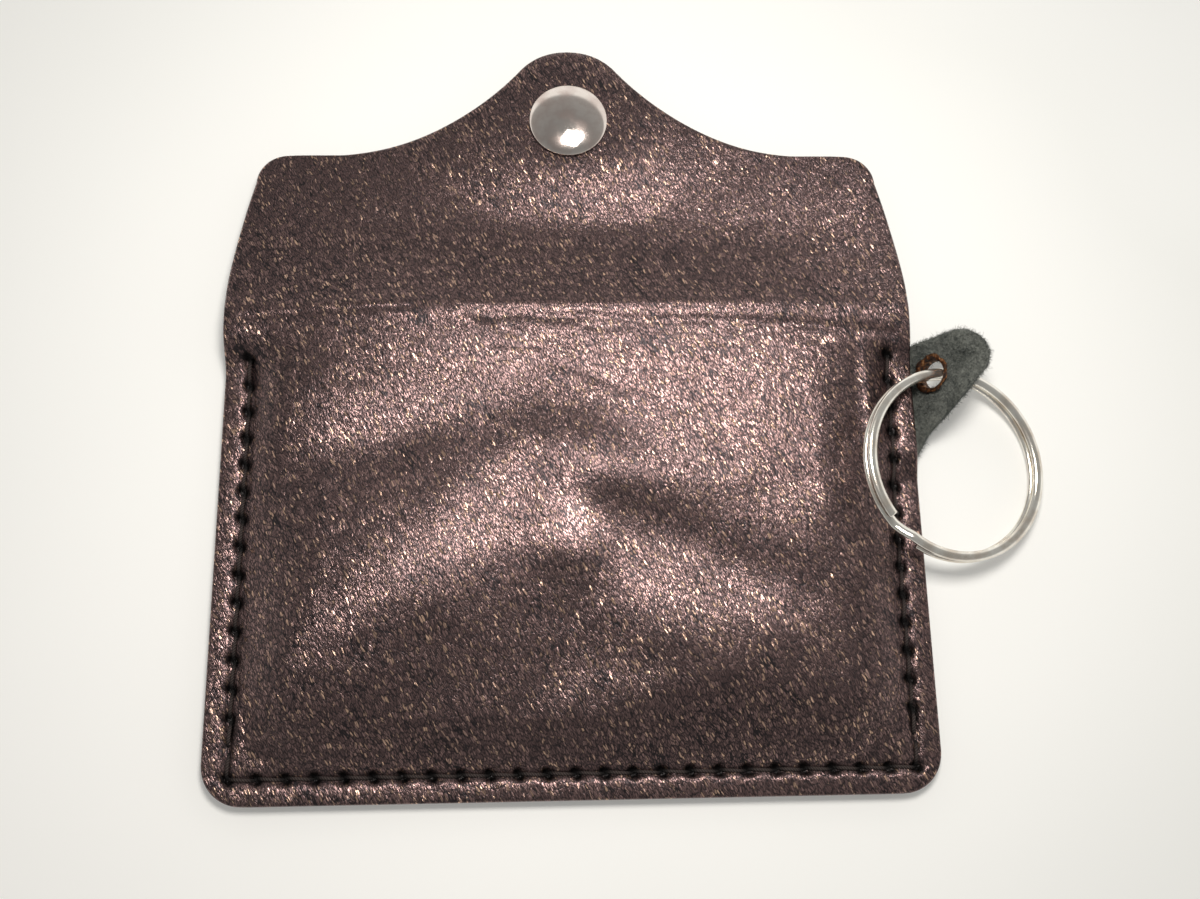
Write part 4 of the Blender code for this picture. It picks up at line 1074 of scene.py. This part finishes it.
def scattered(made, count, seed, keep):
    """Random places on a piece's faces, even by area, with the faces' normals there."""
    mesh = made.data
    mesh.calc_loop_triangles()
    corners = np.zeros(len(mesh.loop_triangles) * 3, dtype=np.int32)
    mesh.loop_triangles.foreach_get("vertices", corners)
    places = np.zeros(len(mesh.vertices) * 3)
    mesh.vertices.foreach_get("co", places)
    a, b, c = places.reshape(-1, 3)[corners.reshape(-1, 3)].transpose(1, 0, 2)
    normals = np.cross(b - a, c - a)
    double_area = np.linalg.norm(normals, axis=1)
    normals = normals / np.maximum(double_area, 1e-15)[:, None]
    weight = double_area * keep(a, normals)
    chance = np.random.default_rng(seed)
    pick = chance.choice(len(a), count, p=weight / weight.sum())
    s, t = chance.uniform(0, 1, (2, count, 1))
    s, t = np.where(s + t > 1, 1 - s, s), np.where(s + t > 1, 1 - t, t)
    a, b, c = a[pick], b[pick], c[pick]
    return a + (b - a) * s + (c - a) * t, normals[pick]


def fibres(name, roots, ways, length, radius, seed, finish):
    """Bent fibres: root + way x length x share + curl x share squared, thinner to the tip."""
    chance = np.random.default_rng(seed)
    count, share = len(roots), np.linspace(0.0, 1.0, 4)
    ways = unit(ways)
    curl = chance.normal(0.0, 0.45, (count, 3)) * length[:, None]
    line = (roots[:, None] + (ways * length[:, None])[:, None] * share[None, :, None]
            + curl[:, None] * (share ** 2)[None, :, None])
    side = unit(np.cross(ways, chance.normal(0.0, 1.0, (count, 3))))
    other = np.cross(ways, side)
    turn = np.radians((0.0, 120.0, 240.0))
    thick = radius * np.array((1.0, 0.9, 0.7, 0.35))
    spoke = (side[:, None, :] * np.cos(turn)[None, :, None]
             + other[:, None, :] * np.sin(turn)[None, :, None])
    points = line[:, :, None, :] + spoke[:, None] * thick[None, :, None, None]
    one = [(k * 3 + i, k * 3 + (i + 1) % 3, k * 3 + 3 + (i + 1) % 3, k * 3 + 3 + i)
           for k in range(3) for i in range(3)]
    first = np.arange(count)[:, None, None] * 12
    skin = (first + np.array(one)).reshape(-1, 4).tolist()
    ends = (first + np.array(((2, 1, 0), (9, 10, 11)))).reshape(-1, 3).tolist()
    return add_mesh(name, points, skin + ends, [finish])


def on_tab(places, normals):
    """Weight for roots: the part of the tab outside the wallet, three times over at its edge."""
    outside = places[:, 0] > HALF_W + 0.2 * MM
    return outside * (1.0 + 3.0 * (np.abs(normals[:, 2]) < 0.35))


roots, out = scattered(tab, FIBRES, 71, on_tab)
chance = np.random.default_rng(72)
lie = chance.normal(0.0, 1.0, roots.shape)
lie -= out * (lie * out).sum(axis=1)[:, None]
ways = lie * 0.55 + out * chance.uniform(0.15, 0.8, (len(roots), 1))
length = chance.uniform(0.15, 0.60, len(roots)) * MM
nap = fibres("tab_nap", roots - out * ROOTED, ways, length, FIBRE_R, 73, suede)
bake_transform(nap)
print("nap", len(roots), "fibres")

# %% [markdown]
# ## Eyelet of the tab
# A thin brass eyelet lines the hole. Below it is rolled flat; above, the setting tool has
# split it into petals that curl over the suede, and sweat has turned it a rusty brown. It is
# one outline carried round the hole, whose upper radius swells and shrinks with the angle.

# %% Tab eyelet
PETALS, PETAL_REACH, EYELET_SIDES = 7, 0.78, 140
# radius, height, and how far the point follows the petals
EYELET_MM = ((2.20, -0.72, 0), (2.20, 0.60, 0), (2.24, 0.74, 0), (2.42, 0.84, 0.3),
             (2.55, 0.82, 1), (2.50, 0.72, 1), (2.38, 0.62, 0.3), (2.40, 0.45, 0),
             (2.40, -0.55, 0), (3.05, -0.60, 0), (3.05, -0.72, 0), (2.9, -0.80, 0),
             (2.35, -0.80, 0))


def rusty_finish():
    """Worn brass: bare metal and brown rust by a noise, rough where it is rusty."""
    made, tree = new_finish("worn brass")
    spots = noise(tree, millimetres(tree), 1.6, 6.0)
    tone = ramp(tree, spots, ((0.40, (0.018, 0.008, 0.005)), (0.55, (0.13, 0.050, 0.020)),
                              (0.68, (0.55, 0.28, 0.13))))
    gloss = ramp(tree, spots, ((0.4, 0.75), (0.65, 0.32)))
    metal = ramp(tree, spots, ((0.38, 0.35), (0.55, 1.0)))
    return dressed(made, {"Base Color": tone, "Roughness": gloss, "Metallic": metal},
                   ((spots, 0.8, 0.10),))


def build_eyelet():
    """The eyelet round the hole's axis, leaned with the ramp, with seven ragged petals."""
    turn = circle(EYELET_SIDES)
    wave = np.abs(np.sin(PETALS / 2 * turn + 0.6 * np.sin(2 * turn + 1.0))) ** 0.45
    reach = 0.25 + 0.75 * wave * (0.75 + 0.25 * cloud(turn * MM, turn * 0, 0.7 * MM, 51))
    curl = 0.16 + 0.16 * cloud(turn * MM, turn * 0, 0.5 * MM, 52)
    radius, height, petal = (np.array(part)[:, None] for part in zip(*EYELET_MM))
    radius = radius + petal * PETAL_REACH * reach
    height = height + petal * (curl - 0.02)
    u, v, w = radius * np.cos(turn) * MM, radius * np.sin(turn) * MM, height * MM
    points = np.stack([HOLE[0] + u * cos(RISE) - w * sin(RISE), HOLE[1] + v,
                       HOLE[2] + u * sin(RISE) + w * cos(RISE)], axis=-1)
    faces = tube_faces(len(EYELET_MM), EYELET_SIDES, closed=True)
    return add_mesh("tab_eyelet_brass", points, faces, [rusty_finish()])


eyelet = build_eyelet()
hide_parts("tab_eyelet")
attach(eyelet, "tab")
print("eyelet with", PETALS, "petals")

# %% [markdown]
# ## Split ring
# One nickel-plated wire, flattened and wound twice. The two turns lie on each other, apart
# from a short jog where the wire climbs from the lower turn to the upper one past its own
# two cut ends. The path is a circle whose height steps up along the jog.

# %% Split ring
RING_R, TILT, HANG = 14.25 * MM, radians(14.0), radians(8.0)
JOG_AT, JOG, END_GAP = radians(228.0), radians(16.0), radians(4.0)
WIRE_W, WIRE_H, TURNS_APART = mm(0.78, 0.51, 1.37)
across = np.array((cos(TILT), 0.0, -sin(TILT)))
away = np.array((0.0, 1.0, 0.0))
ring_up = np.cross(across, away)
ring_centre = HOLE + RING_R * (across * sin(HANG) - away * cos(HANG))
travel = np.linspace(0.0, 4 * pi - JOG - 2 * END_GAP, 840)
turn = JOG_AT + JOG / 2 + END_GAP + travel
climb = TURNS_APART * (ease((travel - (2 * pi - JOG - END_GAP)) / JOG) - 0.5)
outs = across * np.cos(turn)[:, None] + away * np.sin(turn)[:, None]
ring_path = ring_centre + outs * RING_R + ring_up * climb[:, None]
wire = circle(32)
ring_points = carried(ring_path, outs, ring_up + np.zeros_like(outs), oval(WIRE_W, WIRE_H, wire))
ring = add_mesh("split_ring", ring_points, tube_faces(len(travel), len(wire)), [bright])
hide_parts("key_ring")
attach(ring, "ring")
print("split ring", len(ring.data.polygons), "faces")
